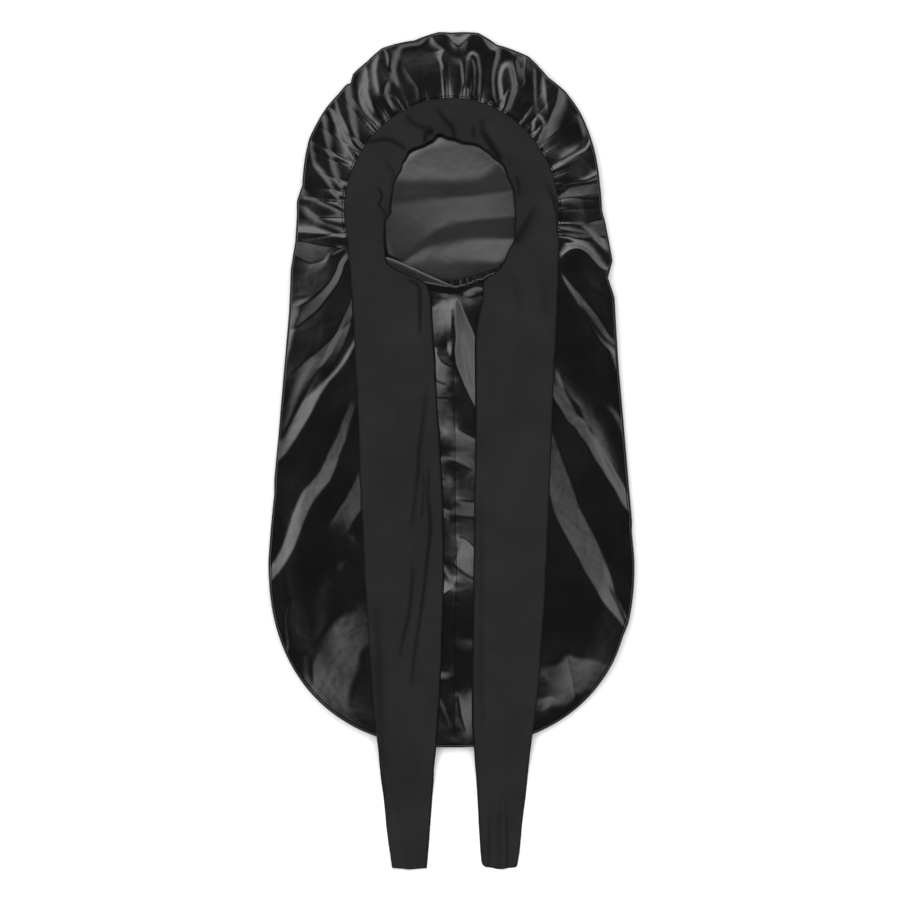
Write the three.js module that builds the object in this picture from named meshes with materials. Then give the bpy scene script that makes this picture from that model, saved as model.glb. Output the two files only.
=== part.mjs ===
// A long satin sleep bonnet lying flat with its face opening up: a hollow gathered bag, a stretch band
// whose two ends run on as ties, and a gathered casing at the nape. Millimetres, +Z up. The surface that
// it lies on is z = 0, the crown points along +Y, and the origin is under the middle of the whole box.
import * as THREE from 'three';

// Seam ring of the face opening, with a shallow V across the nape
const OPENING_Y = 212;
const SEAM_HALF_WIDTH = 97;
const SEAM_HALF_LENGTH = 105;
const NAPE_DROP = 66;
const NAPE_RISE = 0.34;
const NAPE_ROUND = 0.2;
const CORNER_POWER = 6;

// Outline of the flat bag
const CROWN_REACH = 162;
const HALVINGS = 30;
const WIDEST_Y = -99;
const WIDEST_HALF = 165;
const SIDE_TAPER = 23;
const SIDE_LENGTH = 274;
const TAPER_POWER = 1.05;
const HEM_DEPTH = 169;
const HEM_POWER = 2.3;

// Cloth and the heights of the lying bag
const SATIN = 1.5;
const KNIT = 2.2;
const GAP = 0.3;
const EDGE_HEIGHT = 4;
const FLOOR_TURN = 8;
const SEAM_TUCK = 6;
const SEAM_HEIGHT = 12;
const NAPE_HEIGHT = 9.5;
const SEAM_BLEND = 24;
const FOLD_ROOT = 10;
const FOLD_END = 12;

// Puff of the crown and of the length: the height that the rolled edge adds within its width, and the
// height that the panel gains within the wider body width
const CROWN_PUFF = { edge: 9, edgeWidth: 14, body: 8, bodyWidth: 45 };
const LENGTH_PUFF = { edge: 5, edgeWidth: 9, body: 5, bodyWidth: 60 };

// Cosines of the angle from the crown between which one shape turns into the other
const CROWN_TURN = { none: -0.5, all: 0.5 };
const NAPE_TURN = { all: -0.8, none: -0.2 };

// The ties press the folds under them flat by this share, fading out beside them
const PRESSED = 0.75;
const PRESSED_MARGIN = 14;
const PRESSED_INSET = 2;

// Soft waves of the back panel that show through the opening, fading out over the end share of their length
const WAVE_END = 0.6;
const BACK_WAVES = [
  { y: 230, halfLength: 50, halfWidth: 13, height: 2.2 },
  { y: 188, halfLength: 58, halfWidth: 15, height: 2.6 },
];

// Folds of the satin. Each row is one raised flank: its middle in degrees clockwise from the crown at the
// seam, half way and at the outline, its width in degrees at the seam and at the outline, the height that
// it climbs, the side its crest is on (1 is clockwise), and how far its crest pushes the outline out.
const FOLDS = [
  { seam: -168, half: -166, rim: -165, seamWidth: 3, rimWidth: 7, height: 4.5, crest: 1, reach: 0 },
  { seam: -154, half: -153.6, rim: -153.8, seamWidth: 3.5, rimWidth: 2.4, height: 5, crest: 1, reach: 1 },
  { seam: -135.5, half: -139.7, rim: -141.6, seamWidth: 10, rimWidth: 5.5, height: 6, crest: 1, reach: 2 },
  { seam: -113, half: -120.6, rim: -121.7, seamWidth: 6, rimWidth: 3, height: 5, crest: 1, reach: 2 },
  { seam: -106.8, half: -108, rim: -102, seamWidth: 2.5, rimWidth: 5, height: 3.5, crest: 1, reach: 2 },
  { seam: -102, half: -97.2, rim: -94.8, seamWidth: 2.5, rimWidth: 3, height: 3.5, crest: -1, reach: 1 },
  { seam: -96.5, half: -91.5, rim: -87.5, seamWidth: 2.5, rimWidth: 3.5, height: 3, crest: 1, reach: 1 },
  { seam: -91.5, half: -84.8, rim: -81.6, seamWidth: 2, rimWidth: 2.4, height: 3.5, crest: 1, reach: 1.5 },
  { seam: -86.5, half: -74.5, rim: -63, seamWidth: 2.5, rimWidth: 5, height: 4, crest: -1, reach: 2 },
  { seam: -79.5, half: -66.5, rim: -54.5, seamWidth: 3, rimWidth: 3.5, height: 4, crest: -1, reach: 1.5 },
  { seam: -67.5, half: -55, rim: -49.2, seamWidth: 3, rimWidth: 2.4, height: 3.5, crest: 1, reach: 1 },
  { seam: -59.2, half: -50.6, rim: -44.6, seamWidth: 2, rimWidth: 2.4, height: 3, crest: 1, reach: -1 },
  { seam: -52.5, half: -45.2, rim: -39.5, seamWidth: 2.5, rimWidth: 2.4, height: 3.5, crest: -1, reach: -3 },
  { seam: -41, half: -38, rim: -35, seamWidth: 2.2, rimWidth: 2.6, height: 3, crest: 1, reach: 1 },
  { seam: -33, half: -31.6, rim: -29.6, seamWidth: 2.4, rimWidth: 3, height: 3, crest: -1, reach: 3 },
  { seam: -28, half: -26.4, rim: -24.6, seamWidth: 2.2, rimWidth: 2.2, height: 3.5, crest: 1, reach: 3.5 },
  { seam: -22.5, half: -21, rim: -19.4, seamWidth: 2, rimWidth: 2.6, height: 4.5, crest: 1, reach: -2 },
  { seam: -16, half: -14.6, rim: -13.6, seamWidth: 2, rimWidth: 2, height: 2.5, crest: 1, reach: -1 },
  { seam: -8.5, half: -5.6, rim: -7, seamWidth: 2.2, rimWidth: 2.8, height: 4.5, crest: 1, reach: 2 },
  { seam: 0, half: 0.2, rim: -1, seamWidth: 2, rimWidth: 2, height: 2.5, crest: -1, reach: 1.5 },
  { seam: 6.8, half: 4.6, rim: 4.2, seamWidth: 2, rimWidth: 2.4, height: 3.5, crest: 1, reach: 3 },
  { seam: 12, half: 9.8, rim: 9.6, seamWidth: 2, rimWidth: 2, height: 3, crest: -1, reach: 2 },
  { seam: 22, half: 16.8, rim: 15, seamWidth: 2.2, rimWidth: 2.6, height: 4.5, crest: -1, reach: -3 },
  { seam: 28.6, half: 23, rim: 20.4, seamWidth: 2.4, rimWidth: 2.6, height: 3.5, crest: -1, reach: -2 },
  { seam: 43.5, half: 34, rim: 27.2, seamWidth: 2.4, rimWidth: 3, height: 4.5, crest: -1, reach: 1 },
  { seam: 51.8, half: 45.8, rim: 40, seamWidth: 2.4, rimWidth: 3, height: 4.5, crest: 1, reach: 0 },
  { seam: 65, half: 63.6, rim: 61, seamWidth: 2.2, rimWidth: 3, height: 4.5, crest: -1, reach: -1.5 },
  { seam: 75.4, half: 76, rim: 75.6, seamWidth: 2, rimWidth: 2.2, height: 3.5, crest: 1, reach: -1.5 },
  { seam: 83, half: 82.5, rim: 82, seamWidth: 3, rimWidth: 4, height: 3, crest: -1, reach: -4 },
  { seam: 95, half: 95, rim: 98.5, seamWidth: 3.5, rimWidth: 6, height: 4, crest: 1, reach: 1 },
  { seam: 110.5, half: 106.8, rim: 109, seamWidth: 3, rimWidth: 3, height: 4.5, crest: -1, reach: -2 },
  { seam: 119.5, half: 123.5, rim: 127.8, seamWidth: 3, rimWidth: 3.5, height: 5, crest: -1, reach: 1.5 },
  { seam: 148, half: 146.4, rim: 147, seamWidth: 7, rimWidth: 5, height: 6, crest: -1, reach: 1 },
  { seam: 158.6, half: 158, rim: 157.4, seamWidth: 4.5, rimWidth: 2.4, height: 5, crest: -1, reach: 1 },
  { seam: 168, half: 166, rim: 165, seamWidth: 3, rimWidth: 7, height: 4.5, crest: -1, reach: 0 },
  { seam: 178, half: 179.2, rim: 179.4, seamWidth: 3, rimWidth: 1, height: 2, crest: 1, reach: 0 },
];

// Rings of the front panel: distance outside the seam, share of the way on to the outline, and distance
// kept inside the outline
const FRONT_RINGS = [
  { root: -SEAM_TUCK, along: 0, edge: FOLD_END },
  { root: 0.5, along: 0, edge: FOLD_END },
  { root: 8, along: 0, edge: FOLD_END },
  { root: 8, along: 0.25, edge: FOLD_END },
  { root: 8, along: 0.5, edge: FOLD_END },
  { root: 8, along: 0.75, edge: FOLD_END },
  { root: 8, along: 1, edge: FOLD_END },
  { root: 8, along: 1, edge: 5 },
  { root: 8, along: 1, edge: 1.5 },
];
const BACK_RINGS = [0.25, 0.5, 0.75, 1];
const DEGREES_PER_COLUMN = 4.5;
const OUTLINE_PER_COLUMN = 24;

// Inner edge of the band, as a radius from the middle of the opening at degrees clockwise from the crown
const BAND_INNER = [
  { angle: -98, radius: 60 },
  { angle: -77, radius: 58.5 },
  { angle: -56, radius: 60 },
  { angle: -34, radius: 71 },
  { angle: -17, radius: 69.5 },
  { angle: 0, radius: 68.5 },
  { angle: 21, radius: 67.5 },
  { angle: 41, radius: 63.5 },
  { angle: 63, radius: 59 },
  { angle: 98, radius: 57 },
];
const BAND_STEP = 6.5;

// Edges of the two ties from the nape down: the y of each edge and the two x values of each tie
const TIE_ROWS = [
  { outerY: 186, innerY: 190, leftOuter: -93.5, leftInner: -60, rightInner: 57.5, rightOuter: 97 },
  { outerY: 168, innerY: 173, leftOuter: -92, leftInner: -59, rightInner: 56.5, rightOuter: 96.5 },
  { outerY: 150, innerY: 156, leftOuter: -90.5, leftInner: -41, rightInner: 42, rightOuter: 96 },
  { outerY: 132, innerY: 139, leftOuter: -89.5, leftInner: -19.5, rightInner: 26, rightOuter: 95.5 },
  { outerY: 108, innerY: 110, leftOuter: -88, leftInner: -14, rightInner: 23, rightOuter: 94.5 },
  { outerY: 45, innerY: 45, leftOuter: -85, leftInner: -12, rightInner: 22, rightOuter: 91.5 },
  { outerY: -45, innerY: -45, leftOuter: -81.5, leftInner: -10, rightInner: 20.5, rightOuter: 88 },
  { outerY: -135, innerY: -135, leftOuter: -77, leftInner: -10, rightInner: 20.5, rightOuter: 84 },
  { outerY: -215, innerY: -215, leftOuter: -71.5, leftInner: -12.5, rightInner: 18.5, rightOuter: 78 },
  { outerY: -262, innerY: -262, leftOuter: -67, leftInner: -14, rightInner: 19, rightOuter: 72.5 },
  { outerY: -295, innerY: -295, leftOuter: -63.5, leftInner: -16, rightInner: 20.5, rightOuter: 68.5 },
  { outerY: -377, innerY: -377, leftOuter: -54, leftInner: -22, rightInner: 27, rightOuter: 59.5 },
];
const TIE_STEPS = 28;
const STRIP_COLUMNS = 7;
const STRIP_SLOPE_ACROSS = 0.1;
const STRIP_SLOPE_ALONG = 0.3;
const STRIP_PASSES = 3;

// Nape casing: a soft roll along the V. Each end, one of this many parts of its length, tapers to the
// end share of its full size.
const CASING_HALF_ANGLE = 54;
const CASING_WIDTH = 12;
const CASING_HEIGHT = 6.5;
const CASING_END = 0.45;
const CASING_TAPERS = 3;
const CASING_STATIONS = 22;
const CASING_SIDES = 8;

// Height map of what already lies there, which the strip is laid on
const MAP_CELL = 3;
const MAP_SAMPLE = 1.5;
const MAP_REACH = 2;

const { clamp, degToRad, lerp, smoothstep } = THREE.MathUtils;

// A quarter of an ellipse: rises upright from 0 and levels off at 1
function roundUp(share) {
  const rest = 1 - clamp(share, 0, 1);
  return Math.sqrt(1 - rest * rest);
}

function easeBetween(from, to, share) {
  return lerp(from, to, (1 - Math.cos(Math.PI * share)) / 2);
}

// Point at an angle and a distance from the middle of the face opening
function polar(angle, radius, z) {
  const turn = degToRad(angle);
  return new THREE.Vector3(radius * Math.sin(turn), OPENING_Y + radius * Math.cos(turn), z);
}

function seamRadius(angle) {
  const turn = degToRad(angle);
  const ring = Math.hypot(Math.sin(turn) / SEAM_HALF_WIDTH, Math.cos(turn) / SEAM_HALF_LENGTH);
  const aside = Math.hypot(Math.sin(turn), NAPE_ROUND) - NAPE_ROUND;
  const nape = Math.max(0, (NAPE_RISE * aside - Math.cos(turn)) / NAPE_DROP);
  return (ring ** CORNER_POWER + nape ** CORNER_POWER) ** (-1 / CORNER_POWER);
}

function halfWidth(y) {
  if (y >= WIDEST_Y) {
    return WIDEST_HALF - SIDE_TAPER * ((y - WIDEST_Y) / SIDE_LENGTH) ** TAPER_POWER;
  }
  const down = Math.min(1, (WIDEST_Y - y) / HEM_DEPTH);
  return WIDEST_HALF * (1 - down ** HEM_POWER) ** (1 / HEM_POWER);
}

// Distance from the middle of the opening to the plain outline. The crown is a round end, and below the
// middle of the opening the ray is cut where it meets the side or the hem.
function outlineRadius(angle) {
  const turn = degToRad(angle);
  const sideReach = halfWidth(OPENING_Y);
  if (Math.cos(turn) >= 0) {
    return lerp(sideReach, CROWN_REACH, Math.cos(turn) ** 2);
  }
  let inside = 0;
  let outside = OPENING_Y - WIDEST_Y + HEM_DEPTH + sideReach;
  for (let halving = 0; halving < HALVINGS; halving += 1) {
    const radius = (inside + outside) / 2;
    const y = OPENING_Y + radius * Math.cos(turn);
    const within = y > WIDEST_Y - HEM_DEPTH && Math.abs(radius * Math.sin(turn)) < halfWidth(y);
    if (within) inside = radius;
    else outside = radius;
  }
  return inside;
}

// How squarely a ray from the opening meets the outline, which turns a distance along the ray into a
// distance from the edge
function edgeCosine(angle) {
  const radius = outlineRadius(angle);
  const change = (outlineRadius(angle + 0.5) - outlineRadius(angle - 0.5)) / degToRad(1);
  return radius / Math.hypot(radius, change);
}

function tieRowAt(y) {
  const passed = TIE_ROWS.filter((row) => row.innerY > y).length;
  const index = clamp(passed, 1, TIE_ROWS.length - 1);
  const lower = TIE_ROWS[index];
  const upper = TIE_ROWS[index - 1];
  const share = clamp((upper.innerY - y) / (upper.innerY - lower.innerY), 0, 1);
  return {
    leftOuter: lerp(upper.leftOuter, lower.leftOuter, share),
    leftInner: lerp(upper.leftInner, lower.leftInner, share),
    rightInner: lerp(upper.rightInner, lower.rightInner, share),
    rightOuter: lerp(upper.rightOuter, lower.rightOuter, share),
  };
}

// 1 well under a tie, 0 well beside it
function underTies(x, y) {
  if (y > TIE_ROWS[0].innerY) return 0;
  const row = tieRowAt(y);
  const insideLeft = Math.min(x - row.leftOuter, row.leftInner - x);
  const insideRight = Math.min(x - row.rightInner, row.rightOuter - x);
  return smoothstep(Math.max(insideLeft, insideRight), -PRESSED_MARGIN, PRESSED_INSET);
}

// Lines along which the folds' feet and crests run, clockwise round the opening
function foldLines() {
  return FOLDS.flatMap((fold) => [-1, 1].map((side) => ({
    seam: fold.seam + side * fold.seamWidth / 2,
    half: fold.half + side * (fold.seamWidth + fold.rimWidth) / 4,
    rim: fold.rim + side * fold.rimWidth / 2,
    lift: side === fold.crest ? fold.height : 0,
    reach: side === fold.crest ? fold.reach : 0,
  })));
}

function lineAngle(line, along) {
  return line.seam * (1 - along) * (1 - 2 * along)
    + line.half * 4 * along * (1 - along)
    + line.rim * along * (2 * along - 1);
}

// Columns of the bag: each fold line, with as many columns between two lines as their distance asks for.
// Their number is even between any two lines, so that the back panel can have half as many.
function bagColumns() {
  const lines = foldLines();
  const columns = [];
  lines.forEach((line, index) => {
    const last = index === lines.length - 1;
    const turn = last ? 360 : 0;
    const next = lines[(index + 1) % lines.length];
    const widest = Math.max(next.rim + turn - line.rim, next.seam + turn - line.seam);
    const stretch = polar(line.rim, outlineRadius(line.rim), 0)
      .distanceTo(polar(next.rim, outlineRadius(next.rim), 0));
    const pairs = Math.max(widest / DEGREES_PER_COLUMN, stretch / OUTLINE_PER_COLUMN) / 2;
    const count = 2 * Math.max(1, Math.round(pairs));
    for (let step = 0; step < count; step += 1) {
      columns.push({ line, next, turn, share: step / count });
    }
  });
  return columns;
}

function columnAngle(column, along) {
  return lerp(lineAngle(column.line, along), lineAngle(column.next, along) + column.turn, column.share);
}

function puffBetween(crownShare, name) {
  return lerp(LENGTH_PUFF[name], CROWN_PUFF[name], crownShare);
}

// Height of the front panel, for its outer face (wall 0) or its inner face (wall SATIN)
function frontHeight(angle, radius, edge, lift, wall) {
  const seam = seamRadius(angle);
  const point = polar(angle, radius, 0);
  const up = Math.cos(degToRad(angle));
  const crownShare = smoothstep(up, CROWN_TURN.none, CROWN_TURN.all);
  const depth = edge - wall;
  const body = EDGE_HEIGHT
    + (puffBetween(crownShare, 'edge') - wall) * roundUp(depth / puffBetween(crownShare, 'edgeWidth'))
    + puffBetween(crownShare, 'body') * smoothstep(depth, 0, puffBetween(crownShare, 'bodyWidth'));
  const root = lerp(NAPE_HEIGHT, SEAM_HEIGHT, smoothstep(up, NAPE_TURN.all, NAPE_TURN.none)) - wall;
  const outward = smoothstep(radius - seam, 0, SEAM_BLEND);
  const free = 1 - PRESSED * underTies(point.x, point.y);
  const folds = lift * free * smoothstep(radius - seam, -SEAM_TUCK, FOLD_ROOT) * roundUp(depth / FOLD_END);
  return lerp(root, body, outward) + folds;
}

function frontRing(columns, ring, wall) {
  return columns.map((column) => {
    const angle = columnAngle(column, ring.along);
    const lift = easeBetween(column.line.lift, column.next.lift, column.share);
    const reach = easeBetween(column.line.reach, column.next.reach, column.share) * ring.along;
    const cosine = edgeCosine(angle);
    const start = seamRadius(angle) + ring.root;
    const end = outlineRadius(angle) - ring.edge / cosine;
    const plain = lerp(start, end, ring.along);
    const edge = (outlineRadius(angle) - plain) * cosine;
    return polar(angle, plain + reach, frontHeight(angle, plain, edge, lift, wall));
  });
}

// Outline of the outer face (inset 0) or of the inner face (inset SATIN), half way up the side edge
function rimRing(columns, inset) {
  return columns.map((column) => {
    const angle = columnAngle(column, 1);
    const reach = easeBetween(column.line.reach, column.next.reach, column.share);
    return polar(angle, outlineRadius(angle) + reach - inset / edgeCosine(angle), EDGE_HEIGHT);
  });
}

function backHeight(x, y) {
  return BACK_WAVES.reduce((height, wave) => {
    const across = smoothstep(1 - Math.abs(y - wave.y) / wave.halfWidth, 0, 1);
    const along = smoothstep(1 - Math.abs(x) / wave.halfLength, 0, WAVE_END);
    return height + wave.height * across * along;
  }, 0);
}

// Underside of the side edge, down to the back panel
function turnRing(columns, distance, wall) {
  return columns.map((column) => {
    const angle = columnAngle(column, 1);
    const reach = easeBetween(column.line.reach, column.next.reach, column.share);
    const radius = outlineRadius(angle) + reach - distance / edgeCosine(angle);
    const low = EDGE_HEIGHT - (EDGE_HEIGHT - wall) * roundUp((distance - wall) / (FLOOR_TURN - wall));
    return polar(angle, radius, low);
  });
}

function backRing(columns, share, wall) {
  return columns.map((column) => {
    const angle = columnAngle(column, 0);
    const point = polar(angle, seamRadius(angle) * share, 0);
    point.z = backHeight(point.x, point.y) + wall;
    return point;
  });
}

function middleOf(ring) {
  const sum = ring.reduce((total, point) => total.add(point), new THREE.Vector3());
  return sum.divideScalar(ring.length);
}

// Faces between two rings of numbered points. They are equally long, or one has half the other's points.
function facesBetween(first, second) {
  const steps = Math.max(first.length, second.length);
  const pick = (ring, step) => ring[Math.round((step * ring.length) / steps) % ring.length];
  const faces = [];
  for (let step = 0; step < steps; step += 1) {
    const a = pick(first, step);
    const b = pick(first, step + 1);
    const c = pick(second, step + 1);
    const d = pick(second, step);
    if (a !== b) faces.push(a, b, c);
    if (c !== d) faces.push(a, c, d);
  }
  return faces;
}

// Closed body over rings of points, each joined to the next, with a fan round a middle point over the
// first ring and over the last
function closedSkin(rings, firstMiddle = middleOf(rings[0]), lastMiddle = middleOf(rings.at(-1))) {
  const points = [];
  const number = (point) => points.push(point) - 1;
  const numbered = rings.map((ring) => ring.map(number));
  const faces = [];
  for (let ring = 1; ring < numbered.length; ring += 1) {
    faces.push(...facesBetween(numbered[ring - 1], numbered[ring]));
  }
  const fan = (ring, centre, ahead) => ring.forEach((index, step) => {
    const next = ring[(step + 1) % ring.length];
    faces.push(centre, ahead ? next : index, ahead ? index : next);
  });
  fan(numbered[0], number(firstMiddle), true);
  fan(numbered.at(-1), number(lastMiddle), false);
  const geometry = new THREE.BufferGeometry().setFromPoints(points);
  geometry.setIndex(faces);
  return geometry;
}

// The bag is one wall: inside of the back panel, inside of the front panel from the outline in to the
// seam, round the seam edge, then the outside of the front and of the back
function satinBag() {
  const columns = bagColumns();
  const everySecond = columns.filter((column, index) => index % 2 === 0);
  const rings = [
    ...BACK_RINGS.map((share) => backRing(everySecond, share, SATIN)),
    turnRing(everySecond, FLOOR_TURN, SATIN),
    rimRing(columns, SATIN),
    ...FRONT_RINGS.slice(0, -1).reverse().map((ring) => frontRing(columns, ring, SATIN)),
    ...FRONT_RINGS.map((ring) => frontRing(columns, ring, 0)),
    rimRing(columns, 0),
    turnRing(columns, FLOOR_TURN / 3, 0),
    turnRing(everySecond, FLOOR_TURN, 0),
    ...BACK_RINGS.map((share) => backRing(everySecond, share, 0)).reverse(),
  ];
  const height = backHeight(0, OPENING_Y);
  return closedSkin(rings, polar(0, 0, height + SATIN), polar(0, 0, height));
}

// Soft roll laid on the bag's edge along the V of the nape, from one side under the band to the other
function napeCasing(ground) {
  const sections = [];
  for (let station = 0; station <= CASING_STATIONS; station += 1) {
    const share = station / CASING_STATIONS;
    const angle = 180 + lerp(-CASING_HALF_ANGLE, CASING_HALF_ANGLE, share);
    const taper = lerp(CASING_END, 1, roundUp(CASING_TAPERS * Math.min(share, 1 - share)));
    const middle = seamRadius(angle) - CASING_WIDTH / 2;
    const seat = polar(angle, middle, 0);
    const base = ground.highest(seat.x, seat.y) + GAP;
    const section = [];
    for (let side = 0; side < CASING_SIDES; side += 1) {
      const turn = ((side + 0.5) / CASING_SIDES) * 2 * Math.PI;
      const across = (CASING_WIDTH / 2) * taper * Math.cos(turn);
      const height = (CASING_HEIGHT / 2) * taper * (1 + Math.sin(turn) / Math.cos(Math.PI / CASING_SIDES));
      section.push(polar(angle, middle + across, base + height));
    }
    sections.push(section);
  }
  return closedSkin(sections);
}

// Highest point in each small square of the ground, over the solids laid so far
class HeightMap {
  constructor() {
    this.cells = new Map();
  }

  key(x, y) {
    return `${Math.round(x / MAP_CELL)},${Math.round(y / MAP_CELL)}`;
  }

  note(point) {
    const key = this.key(point.x, point.y);
    this.cells.set(key, Math.max(point.z, this.cells.get(key) ?? 0));
  }

  lay(geometry) {
    const position = geometry.getAttribute('position');
    const index = geometry.getIndex();
    const corners = [new THREE.Vector3(), new THREE.Vector3(), new THREE.Vector3()];
    for (let face = 0; face < index.count; face += 3) {
      corners.forEach((corner, side) => corner.fromBufferAttribute(position, index.getX(face + side)));
      this.noteFace(corners);
    }
  }

  noteFace([a, b, c]) {
    const longest = Math.max(a.distanceTo(b), b.distanceTo(c), c.distanceTo(a));
    const steps = Math.ceil(longest / MAP_SAMPLE);
    const onEdge = new THREE.Vector3();
    const point = new THREE.Vector3();
    for (let row = 0; row <= steps; row += 1) {
      onEdge.lerpVectors(a, b, row / steps);
      const acrossSteps = Math.max(1, row);
      const opposite = new THREE.Vector3().lerpVectors(a, c, row / steps);
      for (let step = 0; step <= acrossSteps; step += 1) {
        this.note(point.lerpVectors(onEdge, opposite, step / acrossSteps));
      }
    }
  }

  highest(x, y) {
    let height = 0;
    for (let right = -MAP_REACH; right <= MAP_REACH; right += 1) {
      for (let up = -MAP_REACH; up <= MAP_REACH; up += 1) {
        const key = this.key(x + right * MAP_CELL, y + up * MAP_CELL);
        height = Math.max(height, this.cells.get(key) ?? 0);
      }
    }
    return height;
  }
}

function bandInnerRadius(angle) {
  const passed = BAND_INNER.filter((row) => row.angle < angle).length;
  const index = clamp(passed, 1, BAND_INNER.length - 1);
  const next = BAND_INNER[index];
  const before = BAND_INNER[index - 1];
  const share = clamp((angle - before.angle) / (next.angle - before.angle), 0, 1);
  return easeBetween(before.radius, next.radius, share);
}

// Smooth curve through one edge of a tie, from the nape down
function tieEdge(edgeX, edgeY) {
  return new THREE.CatmullRomCurve3(
    TIE_ROWS.map((row) => new THREE.Vector3(row[edgeX], row[edgeY], 0)),
    false,
    'centripetal',
  );
}

function tieStations(outer, inner) {
  const outerCurve = tieEdge(outer, 'outerY');
  const innerCurve = tieEdge(inner, 'innerY');
  const stations = [];
  for (let step = 0; step <= TIE_STEPS; step += 1) {
    const share = step / TIE_STEPS;
    stations.push({ outer: outerCurve.getPoint(share), inner: innerCurve.getPoint(share) });
  }
  return stations;
}

// Outer and inner edge of the strip, from the end of the left tie, round the band, to the right tie's end
function stripStations() {
  const band = [];
  const reach = BAND_INNER.at(-1).angle;
  const count = Math.round((2 * reach) / BAND_STEP);
  for (let step = 0; step <= count; step += 1) {
    const angle = lerp(-reach, reach, step / count);
    band.push({ outer: polar(angle, seamRadius(angle), 0), inner: polar(angle, bandInnerRadius(angle), 0) });
  }
  return [
    ...tieStations('leftOuter', 'leftInner').reverse(),
    ...band,
    ...tieStations('rightOuter', 'rightInner'),
  ];
}

// Raises each place that lies further below its neighbour than the cloth can bend
function bridge(rows, slopeAcross, slopeAlong) {
  const raise = (low, high, slope) => {
    const run = Math.hypot(low.x - high.x, low.y - high.y);
    low.z = Math.max(low.z, high.z - slope * run);
  };
  const sweep = (order) => order.forEach((row, index) => {
    row.forEach((place, column) => {
      if (column > 0) raise(place, row[column - 1], slopeAcross);
      if (index > 0) raise(place, order[index - 1][column], slopeAlong);
    });
    for (let column = row.length - 2; column >= 0; column -= 1) {
      raise(row[column], row[column + 1], slopeAcross);
    }
  });
  for (let pass = 0; pass < STRIP_PASSES; pass += 1) {
    sweep(rows);
    sweep([...rows].reverse());
  }
}

// One strip of knit laid over the bag and the casing, and past the hem on the ground
function tieBand(ground) {
  const rows = stripStations().map((station) => {
    const row = [];
    for (let column = 0; column < STRIP_COLUMNS; column += 1) {
      const share = column / (STRIP_COLUMNS - 1);
      const place = new THREE.Vector3().lerpVectors(station.outer, station.inner, share);
      const below = ground.highest(place.x, place.y);
      place.z = below > 0 ? below + GAP : 0;
      row.push(place);
    }
    return row;
  });
  bridge(rows, STRIP_SLOPE_ACROSS, STRIP_SLOPE_ALONG);
  const sections = rows.map((row) => {
    const top = row.map((place) => place.clone().setZ(place.z + KNIT));
    return [...top, ...[...row].reverse()];
  });
  return closedSkin(sections);
}

function piece(name, geometry, material) {
  const mesh = new THREE.Mesh(geometry, new THREE.MeshStandardMaterial({ flatShading: true, ...material }));
  mesh.name = name;
  return mesh;
}

const ground = new HeightMap();
const bagGeometry = satinBag();
ground.lay(bagGeometry);
const casingGeometry = napeCasing(ground);
ground.lay(casingGeometry);

const bonnet = new THREE.Group();
bonnet.add(
  piece('satin_bag', bagGeometry, { color: 0x151518, roughness: 0.3, metalness: 0 }),
  piece('nape_casing', casingGeometry, { color: 0x1f1f22, roughness: 0.8, metalness: 0 }),
  piece('tie_band', tieBand(ground), { color: 0x26262a, roughness: 0.9, metalness: 0 }),
);

export default bonnet;
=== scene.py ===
from collections import namedtuple

import bpy
import numpy as np
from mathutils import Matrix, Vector
from mathutils.bvhtree import BVHTree
from mathutils.geometry import delaunay_2d_cdt


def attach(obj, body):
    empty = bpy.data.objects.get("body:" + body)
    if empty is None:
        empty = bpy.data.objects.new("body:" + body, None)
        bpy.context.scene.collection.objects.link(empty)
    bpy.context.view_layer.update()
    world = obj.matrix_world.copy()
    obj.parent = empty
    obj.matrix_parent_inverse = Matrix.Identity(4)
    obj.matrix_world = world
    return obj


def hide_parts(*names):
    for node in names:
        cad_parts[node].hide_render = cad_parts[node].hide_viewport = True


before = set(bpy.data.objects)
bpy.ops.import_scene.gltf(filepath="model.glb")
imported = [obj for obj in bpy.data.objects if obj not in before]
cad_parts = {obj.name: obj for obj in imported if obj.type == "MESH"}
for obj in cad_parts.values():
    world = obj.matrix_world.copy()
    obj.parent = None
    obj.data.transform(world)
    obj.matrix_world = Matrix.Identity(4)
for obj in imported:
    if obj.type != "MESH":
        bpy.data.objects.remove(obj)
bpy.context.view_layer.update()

MM = 0.001
TINY = 1e-6
BODY = "root"

# Seam ring of the face opening, with a shallow V across the nape
OPENING_Y = 212
SEAM_HALF_WIDTH = 97
SEAM_HALF_LENGTH = 105
NAPE_DROP = 66
NAPE_RISE = 0.34
NAPE_ROUND = 0.2
CORNER_POWER = 6

# Outline of the flat bag
CROWN_REACH = 162
HALVINGS = 30
WIDEST_Y = -99
WIDEST_HALF = 165
SIDE_TAPER = 23
SIDE_LENGTH = 274
TAPER_POWER = 1.05
HEM_DEPTH = 169
HEM_POWER = 2.3

# How far the outline of the crown stands out from its plain course, by angle
CORNERS = (
    (-150, 0), (-147.6, -1.2), (-146.2, 0.9), (-142, 0), (-121, 0), (-109, 2), (-100, 0), (-85, 1),
    (-79, -2.5), (-62, 1.5), (-50, 0), (-43, -2), (-39, -2), (-37.5, -4), (-35, 0.5), (-29, 1), (-22.7, 4),
    (-12, -0.5), (-4, 3), (0, 2), (8.5, 4), (15, -2), (23, 0), (26, 1), (35, -3), (43, 0), (52, 0.5),
    (64, -1), (78, -3), (88, -3), (92, -1), (106, 3), (112, -3), (117, 2), (125, 1), (132, 0), (147, 0.3),
    (149.5, 1), (150.3, -1.2), (153, 0), (156.6, 0.8), (157.8, -1.4), (160, 0),
)

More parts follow.
